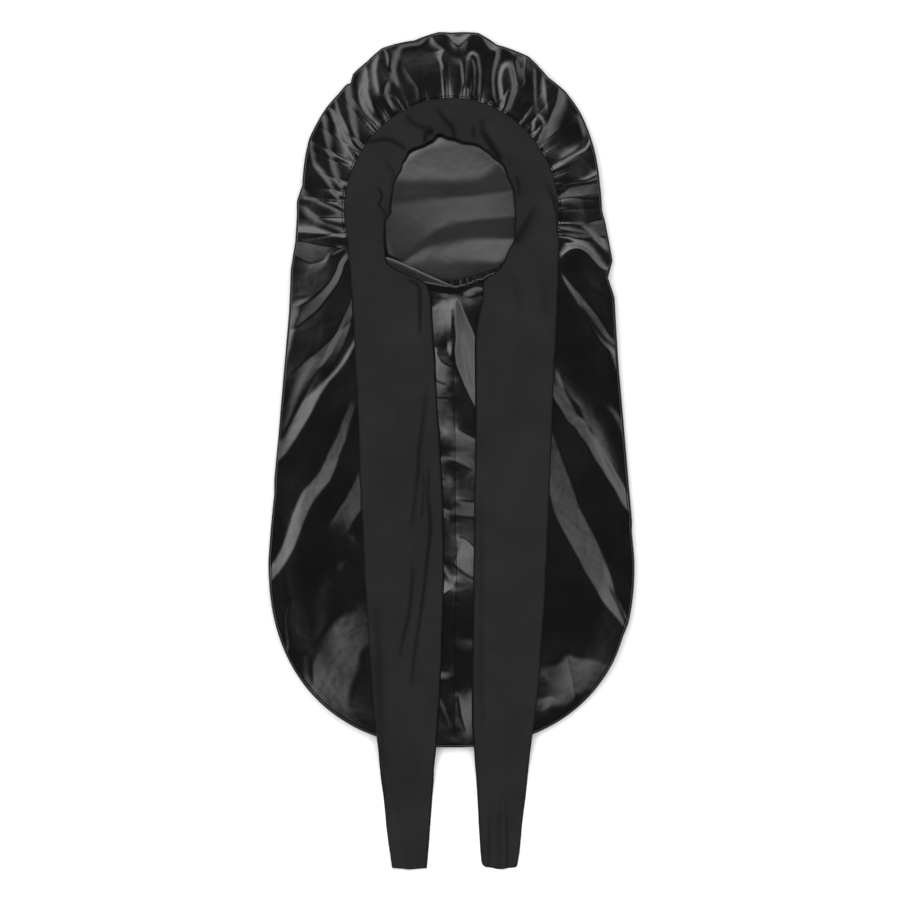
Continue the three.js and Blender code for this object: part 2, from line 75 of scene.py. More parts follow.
# Heights of the lying bag: its edge, its body, its seam and the nape, and how they pass into each other
EDGE_HEIGHT = 4
EDGE_RISE = 7
EDGE_WIDTH = 1.8
BODY_RISE = 1
BODY_WIDTH = 36
FLOOR_TURN = 9
FLOOR_GAP = 0.1
SEAM_TUCK = 6
SEAM_HEIGHT = 12
SEAM_BLEND = 24
NAPE_HEIGHT = 11
NAPE_TURN = {"all": -0.8, "none": -0.2}
FOLD_END = 1.2
PRESSED = 0.75
PRESSED_MARGIN = 14
PRESSED_INSET = 2

# Thickness of the cloths as they are drawn
SATIN = 0.5
KNIT = 2.2
GAP = 0.3

# Creases, from the top down on each side. left and right are the widths of the slopes beside the line, for
# someone who walks along it. A swell is steepest half way, a band and a wave slope evenly, and a fold is
# steepest beside its line. All of them fall away from it on both sides, or rise where the slope is below 0.
# A step falls across the line toward its left, or toward its right where the slope is below 0. Widths
# and slopes are one number, or several that are spread evenly along the line, and a width of 0 is level.
Crease = namedtuple("Crease", "path left right slope shape")

# In the crown
CROWN_CREASES = [
    Crease([(-91, 341), (-94, 329), (-93.3, 320), (-91, 308), (-88.7, 292), (-86, 283), (-80.5, 270)],
           (4, 7, 7, 5, 3), (2, 4, 5, 4, 2), 0.24, "step"),
    Crease([(-106, 319), (-103.8, 311), (-102, 304), (-96.5, 292), (-91.5, 279), (-88.3, 268), (-84, 262)],
           2, 3, -0.16, "step"),
    Crease([(-116, 309), (-110.5, 307.5), (-106.5, 303), (-103, 295), (-99, 285), (-94, 270), (-90, 259),
            (-86.5, 245)], (2, 3, 3), (4, 6, 5), -0.23, "step"),
    Crease([(-119, 304.5), (-115.5, 298), (-112.5, 281), (-109.5, 265), (-106, 251.6), (-100, 236.5),
            (-94, 225.4)], (6, 7, 6, 4), (3, 5, 4, 2), 0.23, "step"),
    Crease([(-127.5, 292), (-128, 281), (-126.5, 270), (-123.3, 257), (-114.4, 246), (-106, 232.2),
            (-97, 217)], (5, 6, 4, 3), (3, 4, 3), (0.2, 0.22, 0.24), "step"),
    Crease([(-141, 243), (-133, 236.5), (-126, 231)], 0, 8, (0.2, 0.18, 0.1), "band"),
    Crease([(-143, 227), (-132, 226.3), (-124, 225), (-116, 221.8), (-108, 218), (-101, 214.3), (-97, 211),
            (-94.5, 207.5)], 1.5, (5, 4, 3), -0.24, "step"),
    Crease([(-142, 220.5), (-133, 218), (-128, 213.5), (-122, 208.5), (-117, 205), (-110, 202.5),
            (-103, 200), (-97, 198)], 3, (8, 7, 5), -0.19, "step"),
    Crease([(-146, 196), (-136, 196.8), (-128, 196.3), (-120, 195.6), (-110, 194), (-101, 192.7),
            (-95, 190)], (9, 6, 3), 1.5, (0.22, 0.24, 0.22), "step"),
    Crease([(-148, 188.5), (-138, 188), (-130, 187), (-120, 184.8), (-108, 183), (-97, 182)],
           0, (10, 18, 20, 12, 3), (0.17, 0.2, 0.2, 0.17), "band"),
    Crease([(-115.5, 168), (-112, 173.5), (-107, 178.5), (-101, 181.5), (-96.5, 182.3)], 3, 1.5, 0.25,
           "step"),
    Crease([(-145, 137.5), (-138, 137.5), (-133, 138.8), (-128, 138.5)], 0, 3, 0.2, "fold"),
    Crease([(-96, 177), (-102, 169), (-105, 161), (-110, 152), (-117, 144), (-124, 137.5), (-132, 132),
            (-141, 128.5), (-152, 127)], (5, 7, 9, 14, 24), 0, (0.25, 0.22, 0.2, 0.2, 0.22), "band"),
    Crease([(-133, 128), (-139, 112), (-143, 95), (-147, 76)], 0, 12, (0.24, 0.2, 0.1), "swell"),
    Crease([(-79, 349), (-77.5, 342), (-77, 332), (-77, 322), (-73, 310), (-69, 302)],
           (2, 3, 3, 2), (10, 10, 7, 4), -0.2, "step"),
    Crease([(-80, 327), (-82, 320), (-80, 311), (-76, 303), (-71, 296)], 2, 3, -0.22, "step"),
    Crease([(-66, 357), (-69, 347), (-69.5, 338), (-68, 328), (-66, 318)], 3, 5, -0.2, "step"),
    Crease([(-62, 363), (-58.5, 356), (-57.5, 350), (-56.5, 344), (-53.5, 340)], 2, 3, -0.22, "step"),
    Crease([(-54, 334), (-58, 329), (-60, 322), (-61, 317)], 5, 2, 0.25, "step"),
    Crease([(-52.5, 304), (-55, 310), (-58, 316), (-57, 319), (-53, 319), (-49, 314), (-46, 309)],
           1.5, 3, -0.2, "step"),
    Crease([(-12, 378), (-20, 373), (-25, 369), (-29, 365.5), (-37, 364.3), (-44, 362.8), (-48, 359),
            (-50.5, 351), (-53, 343), (-52, 336), (-49, 329), (-47.5, 325)],
           (2, 3, 4, 6, 3), (3, 3, 6, 6, 3), 0.23, "step"),
    Crease([(-45.5, 350), (-42, 342), (-36, 333), (-31.5, 326), (-30.5, 318), (-30.5, 312)],
           1.5, (10, 7, 3), -0.14, "step"),
    Crease([(-21, 375), (-16, 367), (-12, 363), (-8, 360), (-10.5, 356), (-11, 352), (-9, 347),
            (-7.5, 342)], (1.5, 2, 1.5), (5, 9, 8, 3, 1.5), -0.22, "step"),
    Crease([(-14, 379), (-5, 374.5), (-1, 371.5), (3, 368), (6, 367), (10, 369), (15, 372.5), (22, 378)],
           5, 1.5, (0.15, 0.2, 0.2, 0.15), "step"),
    Crease([(-2, 371), (2, 366), (6, 363), (10, 366), (14, 371)], 1, (3, 8, 12, 8, 3),
           (0.15, 0.23, 0.25, 0.23, 0.15), "fold"),
    Crease([(8, 352), (9, 344), (10, 336), (11.5, 329), (13.5, 324), (15, 321.5)], 1.5, 2.5, 0.24, "step"),
    Crease([(18, 316), (19.5, 325), (20, 335), (19.8, 345), (18, 350.5), (15, 352.5)], 1.5, 3, -0.22, "step"),
    Crease([(14, 350), (15.5, 354), (19, 357), (22.5, 354.5), (24, 349), (25, 340), (24.7, 330),
            (23.5, 318)], 2.6, 1.5, 0.2, "step"),
    Crease([(26, 377), (29.5, 370.5), (33, 365), (36, 361.5), (40, 360.5), (40.5, 355), (39, 349),
            (37.5, 342), (36.5, 333), (37, 325), (38, 318), (40, 311)],
           (7, 6, 5, 5, 4), 2, (0.22, 0.24, 0.2), "step"),
    Crease([(51, 349), (46, 343.5), (43.5, 335), (44, 327), (45.5, 317), (46, 306)], 2, (4, 5, 4), -0.22,
           "step"),
    Crease([(51, 349), (54, 342), (55.5, 332), (54.8, 322), (53, 312), (50, 301)], 5, 3, 0.25, "step"),
    Crease([(44, 366), (52, 360), (58, 355), (62, 350), (64, 344)], 5, 3, 0.2, "step"),
    Crease([(68, 357), (67, 345), (67, 336), (67.5, 327)], 0, (12, 11, 8), (0.2, 0.19, 0.12), "band"),
    Crease([(74, 346), (74.5, 325), (75, 305)], 3, 1.5, 0.16, "step"),
    Crease([(82, 338), (83, 328), (84.5, 315), (86, 305)], 2, 6, -0.2, "step"),
    Crease([(71, 279), (73, 288), (74, 296), (76, 300)], 2, 1.5, 0.2, "step"),
    Crease([(76, 303), (80, 299), (82.5, 295), (82, 289), (80, 284), (76, 279)], 2.4, 1.5, 0.24, "step"),
    Crease([(84, 338), (90, 336), (94, 332), (97, 326), (96.5, 320), (95, 312), (91.5, 304), (88.5, 298),
            (84.5, 289), (81, 280), (78, 272)], (5, 9, 12, 12, 9), 1.5,
           (0.16, 0.25, 0.25, 0.25, 0.2), "step"),
    Crease([(113, 303), (117, 292), (120, 281)], 10, 4, (0.2, 0.24, 0.2), "step"),
    Crease([(117, 279.5), (114, 274), (108.5, 269), (101, 264.5), (95, 261)], 2, 8, -0.17, "step"),
    Crease([(122, 292), (125, 286), (125, 279), (122.5, 273), (119.5, 269.5), (112, 265), (105, 261),
            (98, 257.5), (93, 255), (87.5, 252)], 1, (2, 3, 2.6, 2.6, 3), -0.26, "step"),
    Crease([(136, 251), (127, 246.8), (121, 243), (115, 241.2)], 1.5, 5, -0.2, "step"),
    Crease([(137, 246), (127, 242.5), (120, 240.8), (113, 240), (105, 238.6), (99, 237.8), (93, 235.5)],
           1, 2, 0.26, "step"),
    Crease([(136, 242), (127, 240), (120, 238.8), (113, 238), (105, 236), (99, 233)],
           (14, 15, 12, 8), 0, (0.14, 0.18, 0.18), "band"),
    Crease([(104, 233), (98, 229), (95.5, 224)], 5, 0, 0.24, "fold"),
    Crease([(99, 205), (112, 203), (128, 206), (143, 210)], 0, (10, 14, 17, 20), (0.13, 0.16, 0.2), "band"),
    Crease([(113, 203), (121, 199), (128, 192.5), (135, 185.5), (141, 178)], 6, 3, 0.24, "step"),
    Crease([(101, 191.8), (107, 190), (113, 187)], 2.4, 1, 0.25, "step"),
    Crease([(101, 186), (107, 184.8), (112, 185.6)], 1, 2.4, 0.25, "step"),
    Crease([(98, 172), (103, 177), (110, 180.5), (116, 180.5), (122, 177), (127, 171), (132, 165.5),
            (139, 161), (145, 163)], (7, 10, 10, 7), 1, (0.3, 0.28, 0.26, 0.22), "fold"),
]

# Along the sides, below the crown
LENGTH_CREASES = [
    Crease([(-90, 142), (-93.5, 130), (-98, 121), (-101.5, 112), (-107, 100), (-113, 88), (-120, 74)],
           (5, 10, 13, 12), 0, (0.18, 0.23, 0.2, 0.12), "band"),
    Crease([(-80, 105), (-88, 92), (-95, 79.5), (-103, 69), (-111, 59.5), (-118, 49), (-123, 39), (-129, 28),
            (-136, 16.5), (-143.5, 4.5), (-151, -6.5), (-164, -18)], 0, (20, 17, 14, 13, 12),
           (0.17, 0.18, 0.17, 0.165), "band"),
    Crease([(-84, 120), (-96, 111), (-108, 101), (-120, 90), (-133, 79), (-150, 64)],
           (6, 18, 25, 27, 28), 0, (0.1, 0.17, 0.19, 0.18, 0.15), "band"),
    Crease([(-122, 86), (-132, 68), (-140, 50), (-147, 28), (-153, 8)], 5, 8, (0.1, 0.2, 0.2, 0.12), "step"),
    Crease([(-85, 42), (-91, 24), (-95, 8), (-100, -4), (-104, -17), (-109, -28), (-117, -38), (-125, -49),
            (-131, -62), (-137, -77), (-143, -91), (-150, -103), (-157, -113), (-168, -126)],
           0, (7, 10, 14, 15, 13, 11, 10), (0.12, 0.16, 0.17, 0.165), "band"),
    Crease([(-80, -8), (-89, -29), (-96, -43), (-104, -55), (-113, -70)], 20, 0, (0.08, 0.15, 0.18, 0.1),
           "band"),
    Crease([(-95, -75), (-93, -88)], 10, 0, 0.13, "swell"),
    Crease([(-104, -97), (-106, -108), (-102, -117)], 13, 0, 0.15, "swell"),
    Crease([(-122, -95), (-128, -130), (-129, -165), (-127, -185)], 24, 0, (0.04, 0.08, 0.09, 0.08), "swell"),
    Crease([(-146, -136), (-149.5, -150), (-149, -162), (-148, -174), (-149, -186)], 2, 2, 0.2, "step"),
    Crease([(-121, -185), (-127, -188), (-128, -199), (-126, -211)], 2, 9, 0.12, "swell"),
    Crease([(-64, -178), (-74, -184), (-76, -198), (-81, -210), (-86, -223), (-88, -238)],
           0, (40, 56, 58, 52, 42), (0.16, 0.2, 0.2, 0.18), "wave"),
    Crease([(99, 160), (108, 148.5), (115, 141.5), (122, 133), (130, 123.5), (137, 113), (143, 103.5),
            (154, 93)], 0, (2, 7, 11, 12, 12), (0.2, 0.2, 0.2, 0.22), "band"),
    Crease([(116, 131), (122, 121), (128, 112.5), (134, 104.5), (141, 97), (148, 91.5)], 1, 2, 0.14, "step"),
    Crease([(146, 96), (150, 84), (153, 70)], 0, 8, 0.18, "swell"),
    Crease([(82, 66), (91, 46), (97, 36.5), (104, 25), (110, 19.5), (115, 12), (121, 4), (128, -9),
            (134, -17), (140, -27), (147, -37), (153, -49), (165, -63)], (15, 13, 11, 10, 9), 0,
           (0.17, 0.19, 0.2, 0.2), "band"),
    Crease([(92, 74), (100, 60), (108, 48), (115, 40), (120.5, 27), (128, 16.5), (134, 3), (141, -13),
            (147, -24.5), (154, -37)], (12, 15, 15, 13, 8), 3, (0.14, 0.18, 0.2, 0.18, 0.1), "step"),
    Crease([(137, 38), (146, 27), (152, 12), (157, -4)], 8, 0, 0.15, "swell"),
    Crease([(76, 22), (80, -10), (85, -32), (91, -55), (95.5, -66), (101, -76), (107, -87), (113, -98),
            (119, -110), (127, -122.5), (134, -135), (142, -144.5), (150, -154), (160, -168)],
           (14, 22, 26, 26, 24, 14, 5), 0, (0.15, 0.18, 0.19, 0.2, 0.19, 0.2, 0.15), "band"),
    Crease([(141, -122), (148, -136), (154, -149), (157, -158)], 1.5, 1.5, -0.2, "step"),
    Crease([(70, -192), (84, -188), (92, -186), (103, -178), (118, -182), (132, -185), (146, -192)], 0,
           (50, 52, 50, 42, 32), (0.12, 0.21, 0.23, 0.2, 0.1), "wave"),
    Crease([(88, -198), (90, -210)], 0, 7, 0.12, "swell"),
    Crease([(78, -224), (90, -222), (97, -226)], 0, 12, 0.13, "band"),
]

# Between the ties
CENTRE_CREASES = [
    Crease([(-40, 141), (-18.5, 138.5), (-10, 137), (-3.6, 135.6)], 0, 2, 0.4, "fold"),
    Crease([(1, 133), (0.8, 124), (0.6, 115), (0.4, 107)], 0, (10, 30, 34, 26), 0.34, "band"),
    Crease([(1, 98), (0.5, 90), (0.2, 83)], 0, (5, 6, 2), 0.3, "band"),
    Crease([(-60, 96), (-17.5, 94), (-13.5, 87), (-9.3, 80), (-2.4, 76), (1, 75.5)], 0, (14, 17, 19), 0.34,
           "band"),
    Crease([(1, 57), (0.8, 48)], 0, (11, 9), -0.1, "swell"),
    Crease([(-60, 48), (-10, 47), (0.5, 46)], 0, (30, 34, 34), 0.3, "band"),
    Crease([(-60, -6), (-14, -6), (1, -7)], 0, 22, 0.28, "band"),
    Crease([(-30, -46), (-12, -50), (2, -56)], 0, 10, 0.22, "band"),
    Crease([(3.2, 138), (3, 120), (2.8, 100), (2.8, 82), (7.9, 65), (14.8, 49), (21, 37.5), (30, 20)],
           (1, 9, 17, 24, 27, 27, 24, 18, 12), 0, 0.32, "band"),
    Crease([(9, 106), (11, 92), (12.5, 80), (18, 55)], 3, 2, -0.12, "step"),
    Crease([(2, 20), (10, 16.5), (21, 11), (34, 6)], 0, 30, (0.3, 0.3, 0.2), "band"),
    Crease([(8, 141), (14, 144), (22, 147), (34, 146)], 0, 9, 0.45, "fold"),
    Crease([(10, 140), (18, 139), (24, 140)], 4, 3, -0.3, "step"),
    Crease([(3, -44), (14, -46), (40, -48)], 0, 16, 0.26, "band"),
    Crease([(3, -78), (10, -79), (16, -83), (26, -92), (44, -100)], 0, 26, (0.36, 0.38, 0.3, 0.1), "band"),
    Crease([(-40, -140), (-14, -133), (-3, -128), (3, -122), (5, -112)], 18, 0, 0.3, "band"),
    Crease([(-20, -98), (-10, -104), (-2, -116), (0, -128)], 5, 4, 0.3, "step"),
    Crease([(5, -160), (14, -164), (40, -168)], 0, 20, 0.14, "swell"),
    Crease([(4.5, -218), (8, -240), (13, -257)], 16, 0, 0.3, "band"),
    Crease([(-40, -200), (-13, -197), (1, -198)], 0, 12, 0.26, "swell"),
    Crease([(-12, -222), (-6, -236), (0, -252)], 4, 4, 0.22, "step"),
]

# Creases of the knit: valleys between its folds and the soft folds themselves
KNIT_CREASES = [
    # Band, from the left round the crown to the right
    Crease([(-68, 238), (-63.5, 231.5), (-62.8, 226), (-65.5, 221.5), (-60.5, 214), (-57.5, 208)],
           2, 2, (-0.5, -1.3, -1.1, -0.9, -0.4), "fold"),
    Crease([(-90, 268), (-78, 274.5), (-68, 278), (-57, 279), (-48, 275), (-40.5, 269.5)],
           3, (1.5, 2.2), (-0.1, -0.5, -1.1, -1.3, -1.3), "fold"),
    Crease([(-40, 303), (-37.4, 296.1), (-27.4, 290.7), (-15.8, 289.8)], 3, 3, (-0.5, -0.9, -0.8), "fold"),
    Crease([(-25.5, 286.5), (-20, 285.5), (-14, 287.5)], 4, 4.5, -1.8, "fold"),
    Crease([(-28, 291.5), (-20, 291), (-12, 290.5)], 3, 0, 0.4, "fold"),
    Crease([(-24, 286), (-23.5, 280), (-24.5, 275)], 3, 3, -1.5, "fold"),
    Crease([(-13, 309), (-10.3, 303), (-4, 295), (0.5, 290), (3.1, 279)], 3, 3, (-0.4, -1.1, -1.3, -1),
           "fold"),
    Crease([(-36, 309), (-30, 302), (-20, 299.5), (-10, 303)], 5, 5, (0.2, 0.35, 0.2), "step"),
    Crease([(19.4, 294), (20.4, 288), (20.2, 279)], 2, 3, (-0.3, -0.9, -0.9), "fold"),
    Crease([(26, 290), (30, 283.5), (34.5, 276), (40.1, 267), (46, 259)], 4.5, 4.5, (-0.5, -1.7, -1.8, -0.9),
           "fold"),
    Crease([(30, 300), (27, 292), (30, 288)], 4, 4, (-0.1, -0.5, -0.6), "fold"),
    Crease([(57, 249), (60.5, 238), (60, 226)], 3, 3, (-0.3, -0.8, -0.4), "fold"),
    Crease([(56.5, 184), (58.1, 189), (66, 203), (76, 221.5)], 3, 9, (-1.1, -0.9, -0.6, -0.1), "fold"),
    Crease([(72, 181), (80, 192), (84, 206), (84, 219)], 12, 8, (0.1, 0.28, 0.3, 0.1), "fold"),
    Crease([(84, 240), (89.1, 231), (93.5, 217), (95.5, 203), (95.5, 192)], 4.5, 2, (-0.3, -0.9, -1, -0.5),
           "fold"),
    Crease([(-60, 262), (-52, 252), (-50.5, 240), (-54, 222), (-58, 205), (-60, 185)], 0, 5, -0.3, "fold"),
    # Left tie
    Crease([(-41, 154), (-31, 149), (-28.4, 143), (-28.2, 128), (-28.4, 104)], 2, 2.5,
           (-0.6, -1.2, -1.3, -0.7), "fold"),
    Crease([(-22, 60), (-24.8, 34), (-29.3, 0), (-30.2, -18), (-32, -36), (-36.5, -72)], 3.5, 2.5,
           (-0.1, -0.5, -0.8, -0.8, -0.6, -0.2), "fold"),
    Crease([(-24.8, -20), (-25.6, -42), (-27, -62)], 1.8, 1.8, -0.7, "fold"),
    Crease([(-20.3, -14), (-21.2, -40.5), (-19.4, -63), (-19.4, -76.5), (-22.1, -99), (-24.8, -126),
            (-29.3, -157.5), (-32.9, -180), (-36, -214)], 2.6, 2.2,
           (-0.3, -1.1, -1.3, -1.2, -1, -0.7, -0.3), "fold"),
    Crease([(-34.5, -102), (-36, -128), (-38.5, -150), (-43, -168), (-47, -188)], 2.6, 2.6,
           (-0.3, -0.9, -0.9, -0.7, -0.2), "fold"),
    Crease([(-68, -140), (-65, -190), (-64, -240), (-62, -285)], 6, 6, (-0.1, -0.3, -0.3, -0.1), "fold"),
    Crease([(-50, 60), (-54, 0), (-56, -70), (-52, -140)], 10, 8, (0.04, 0.12, 0.12, 0.04), "fold"),
    # Right tie
    Crease([(54, 160), (57, 148), (60, 138), (64, 124)], 7, 7, (-0.02, -0.12, -0.1, -0.02), "fold"),
    Crease([(81, 156), (83, 140), (85, 118)], 6, 6, (-0.02, -0.12, -0.02), "fold"),
    Crease([(60, 120), (54, 40), (48, -60), (46, -180), (44, -300)], 12, 12, (0.03, 0.08, 0.06, 0.08, 0.04),
           "fold"),
    Crease([(27, -40), (28, -110), (27, -190), (29, -250)], 3, 6, (-0.05, -0.16, -0.16, -0.05), "fold"),
]

# Waves of the bag's back, seen through the face opening
BACK_CREASES = [
    Crease([(-80, 236), (-30, 236), (5, 235.5), (26, 238), (40, 246), (54, 260)], 50, 0, (0.16, 0.16, 0.15),
           "wave"),
    Crease([(-80, 233), (-30, 232), (10, 232), (40, 236), (70, 242)], 0,
           (80, 78, 72, 56, 38, 31, 30, 32, 34, 36),
           0.2, "wave"),
    Crease([(-52, 165), (-24, 184), (-8, 188.5), (8, 192), (30, 194), (70, 193)], 0, (5, 14, 26, 29, 30, 30),
           (-0.04, -0.15, -0.2, -0.2), "wave"),
]

# How the slopes of a crease begin and end, and the grid that the cloth is worked out on
CREASE_STEP = 3
CREST_ROUND = 0.9
WAVE_SOFT = 0.22
BAND_FOOT = 0.85
SKIRT_REACH = 2.6
SKIRT_SHARE = 0.5
END_FADE = 5
CROWN_LIFT = 1.3
GRID_STEP = 0.8
GRID_LOW = (-180, -285)
GRID_HIGH = (180, 395)
SATIN_RETURN = 55

# Seams of the bag: where the centre seam lies, and how far the cloth is drawn in along it and the hem's
CENTRE_SEAM = (
    (3, -268), (2.5, -180), (4.5, -110), (3.5, -60), (3, 20), (2, 60), (1.6, 85), (0.5, 112), (0, 138),
)
SEAM_TOP = 140
SEAM_FADE = 8
SEAM_DIP = 0.05
SEAM_DIP_WIDTH = 1.3
PUCKER_SEED = 11
PUCKER_STEP = 4.5
PUCKER_HEIGHT = 0.14
PUCKER_REACH = 5
PUCKER_FADE = 20
HEM_SEAM_INSET = 3.2
HEM_SEAM_TOP = -20
HEM_SEAM_FADE = 40

# Gathers at the seam: they stand between random valleys and flatten out with the distance from the seam
GATHER_SPACING = (2.8, 9)
GATHER_HEIGHT = (0.1, 1.5)
GATHER_REACH = (3, 26)
GATHER_POWER = 0.75
GATHER_SEED = 5
NAPE_CALM = 0.8
NAPE_ANGLES = (115, 140)

# Lattice of points over the front of the bag: how far apart they lie in the crown, along the length, and
# where the band and the ties cover it. Then rows of points beside the rim, under it and inside the seam.
CROWN_SPACING = 1.08
LENGTH_SPACING = 1.4
HIDDEN_SPACING = 4
HIDDEN_MARGIN = 5
HIDDEN_TOP = 180
CROWN_END = 150
LATTICE_ROW = 0.866
LATTICE_MARGIN = (5, 6)
CLEARANCE = 0.6
WELD = 1e-5
RIM_SAMPLES = 7201
RING_SPACING = 1.15
EDGE_ROWS = (4.4, 3.8, 3.3, 2.8, 2.3, 1.8, 1.2, 0.7, 0.35, 0.1)
TURN_ROWS = (0.25, 1, 2.4, 4.4, 6.6, FLOOR_TURN)
TUCK_ROWS = (-0.4, -2, -4, -SEAM_TUCK)
TUCK_SLOPE = 0.02
RIM_MATT = 1.3

# Back of the bag
BACK_RETURN = 45
BACK_LEVEL = 0.3
BACK_LIFT = 5
BACK_HALF_WIDTH = 85
BACK_HALF_LENGTH = 90
BACK_FADE = 0.3
BACK_COLUMNS = 360
BACK_RINGS = 70
BACK_CROWDING = 1.25
BACK_LAP = 7.5
BACK_LAP_RISE = 0.5
BACK_LAP_START = 0.9

# Edges of both ties from the band down: y of the outer and the inner edges, then x of all four
Row = namedtuple("Row", "outer_y inner_y left_outer left_inner right_inner right_outer")
TIE_ROWS = [
    Row(186, 190, -93.5, -60, 57, 97),
    Row(168, 179, -92, -59.5, 51, 96.5),
    Row(158, 168, -91.2, -57, 46.5, 96.2),
    Row(150, 160, -90.5, -46, 39.5, 96),
    Row(144, 154, -90, -31, 30.5, 95.8),
    Row(138, 149, -89.7, -22, 28, 95.6),
    Row(130, 140, -89.4, -19, 28, 95.5),
    Row(108, 110, -88, -16.5, 22.5, 94.5),
    Row(45, 45, -85, -13, 21.5, 91.5),
    Row(-45, -45, -81.5, -7.5, 20.5, 88),
    Row(-135, -135, -77, -7, 19.5, 84),
    Row(-215, -215, -71.5, -10, 18.5, 78),
    Row(-262, -262, -67, -13.5, 19.5, 72.5),
    Row(-295, -295, -63.5, -16, 22, 68.5),
    Row(-377, -377, -54, -22, 27, 59.5),
]

# Inner edge of the band, as a radius from the middle of the opening, by angle
BAND_INNER = (
    (-98, 60), (-87.5, 54.5), (-74, 55.5), (-59, 58.6), (-50, 59.5), (-41, 64), (-33, 68.5), (-22, 67),
    (-15, 68.5), (-9, 73), (-1, 68.5), (10, 65.5), (20, 66.5), (29, 65), (37, 63.5), (45, 64), (60, 60.4),
    (82, 57), (98, 57),
)

# Strip of knit: its points, how it lies, its ends, and how dark the painted shade in its folds and the
# painted shadow along its edges are
BAND_ANGLE = 98
BAND_POINTS = 200
TIE_POINTS = 400
STRIP_STEP = 1.45
STRIP_COLUMNS = 54
STRIP_EDGE = 1.5
STRIP_SLOPE_ACROSS = 0.12
STRIP_SLOPE_ALONG = 0.3
STRIP_SMOOTHING = 160
LAY_ROUNDS = 3
EDGE_MIDDLE = 0.35
TIE_LEVEL = 0.2
END_STATIONS = 12
LEFT_END = (2, 1.2)
RIGHT_END = (4, 6.5)
END_WAVE = 0.8
END_WAVES = 3
EDGE_WANDER = 0.35
EDGE_WANDER_STEP = 9
EDGE_SEED = 23
KNIT_RETURN = 14
KNIT_DEEPEST = -1.8
KNIT_HIGHEST = 1.6
SHADE_REACH = 1.6
SHADE_LEAST = 1.2
SHADE_DEEPEST = 0.9
SHADE_FULL = 1.5
INNER_SHADOW = 0.05
OUTER_SHADOW = 0.6
SHADOW_WIDTH = 2.2

# Nape: places of the roll and of the near-black strip of painted shade under it, each with its width, its
# height and how ruffled it is
NAPE_ROLL = (
    (-64, 170.5, 11, 1.2, 0),
    (-57.5, 167.4, 12.5, 1.5, 0),
    (-43, 161.6, 12.5, 1.6, 0.03),
    (-28, 155.8, 11.5, 1.6, 0.05),
    (-14, 151.4, 9, 1.6, 0.08),
    (-3, 148.2, 6.5, 1.7, 0.15),
    (6, 147, 3.5, 2, 0.4),
    (16, 150.4, 1.6, 2, 1),
    (25, 153.4, 1.6, 2, 1),
    (33, 156.4, 1.6, 2, 1),
    (39.5, 160.5, 1.8, 2, 0.8),
    (46, 167, 2, 2, 0.5),
)
# Near-black strip under the roll: painted shade of the pocket there, drawn with a ruffle like a gathered edge
NAPE_PAINTED_SHADE = (
    (-30, 150.5, 5, 0.6, 0.2),
    (-18, 146.5, 6.5, 0.8, 0.4),
    (-8, 144.3, 7, 0.9, 0.5),
    (0, 143, 6.5, 0.9, 0.5),
    (5, 142.6, 4, 0.8, 0.5),
    (9, 144.6, 2, 0.8, 0.8),
    (20, 148.8, 1.6, 0.8, 1),
    (32, 153, 1.6, 0.8, 1),
)
NAPE_STEP = 0.7
NAPE_SIDES = 20
NAPE_SQUARE = 0.75
NAPE_LIFT = 0.1
NAPE_EVEN = 8
NAPE_SEED = 8
RUFFLE_STEP = 3
RUFFLE_PINCH = 0.35
RUFFLE_SWAY = 0.7
ROLL_END = 0.05
ROLL_END_LEAST = 0.2

# Stitches: how far apart they start, their share of that, and their thickness along their length
STITCH_PITCH = 3
STITCH_SHARE = 0.92
THREAD = 0.75
SPINDLE = ((0, 0.15), (0.15, 0.8), (0.5, 1), (0.85, 0.8), (1, 0.15))
BAND_SEAM_ANGLE = 118
BAND_SEAM_OFFSET = 1.6
CENTRE_STITCHES = (128, -262)
HEM_ANGLES = (146, 214)

# Relief and gloss of the satin, and colour and relief of the knit. Scales are for each metre.
THREADS_PER_METRE = 900
THREAD_RELIEF = 0.01
THREAD_STRENGTH = 0.25
CRUMPLE_SCALE = 45
CRUMPLE_HEIGHT = 0.9
RIPPLE_SCALE = 190
RIPPLE_HEIGHT = 0.12
GLOSS_SCALE = 30
GLOSS_RANGE = (-0.03, 0.05)
JERSEY_COLOR = (0.0168, 0.0168, 0.0172)
# Darkest knit colour: the painted shade in its folds and along its edges, and its random patches, darken
# toward it
JERSEY_SHADE = (0.001, 0.001, 0.001)
JERSEY_PATCHES = (0.45, 1.05)
PATCH_SCALE = 25
RIBS_PER_METRE = 420
RIB_RELIEF = 0.12
FUZZ_SCALE = 900
FUZZ_HEIGHT = 0.08

# Camera over the middle of the view, and the width that the frame covers where the bonnet lies
VIEW_WIDTH = 810
VIEW_X = -1.35
VIEW_LEVEL = 10
CAMERA_HEIGHT = 8000
CLIP_END = 100
SENSOR = 36

# Floor and light. The stops are heights in the sky, or how near the key light is, and how bright it is there.
FLOOR_HALF = 20000
COLLAR_STOPS = (
    (0.0, 0.3), (0.3, 0.5), (0.5, 1.0), (0.65, 1.3), (0.82, 2.2), (0.9, 3.6), (0.945, 1.8), (0.98, 0.15),
    (0.992, 0.03),
)
KEY_DIRECTION = (-0.45, 0.55, 0.75)
KEY_STOPS = ((0.0, 0.8), (0.6, 0.9), (0.9, 1.5), (1.0, 1.7))


def lerp(start, end, share):
    return start + (end - start) * share


def smoothstep(value, low, high):
    share = np.clip((value - low) / (high - low), 0, 1)
    return share * share * (3 - 2 * share)


def round_up(share):
    """A quarter of an ellipse: rises upright from 0 and levels off at 1."""
    rest = 1 - np.clip(share, 0, 1)
    return np.sqrt(1 - rest * rest)


def in_plane(angle, radius):
    """Places at an angle and a distance from the middle of the face opening."""
    turn = np.radians(angle)
    return np.stack([radius * np.sin(turn), OPENING_Y + radius * np.cos(turn)], -1)


def angle_and_radius(places):
    x, y = places[:, 0], places[:, 1] - OPENING_Y
    return np.degrees(np.arctan2(x, y)), np.hypot(x, y)


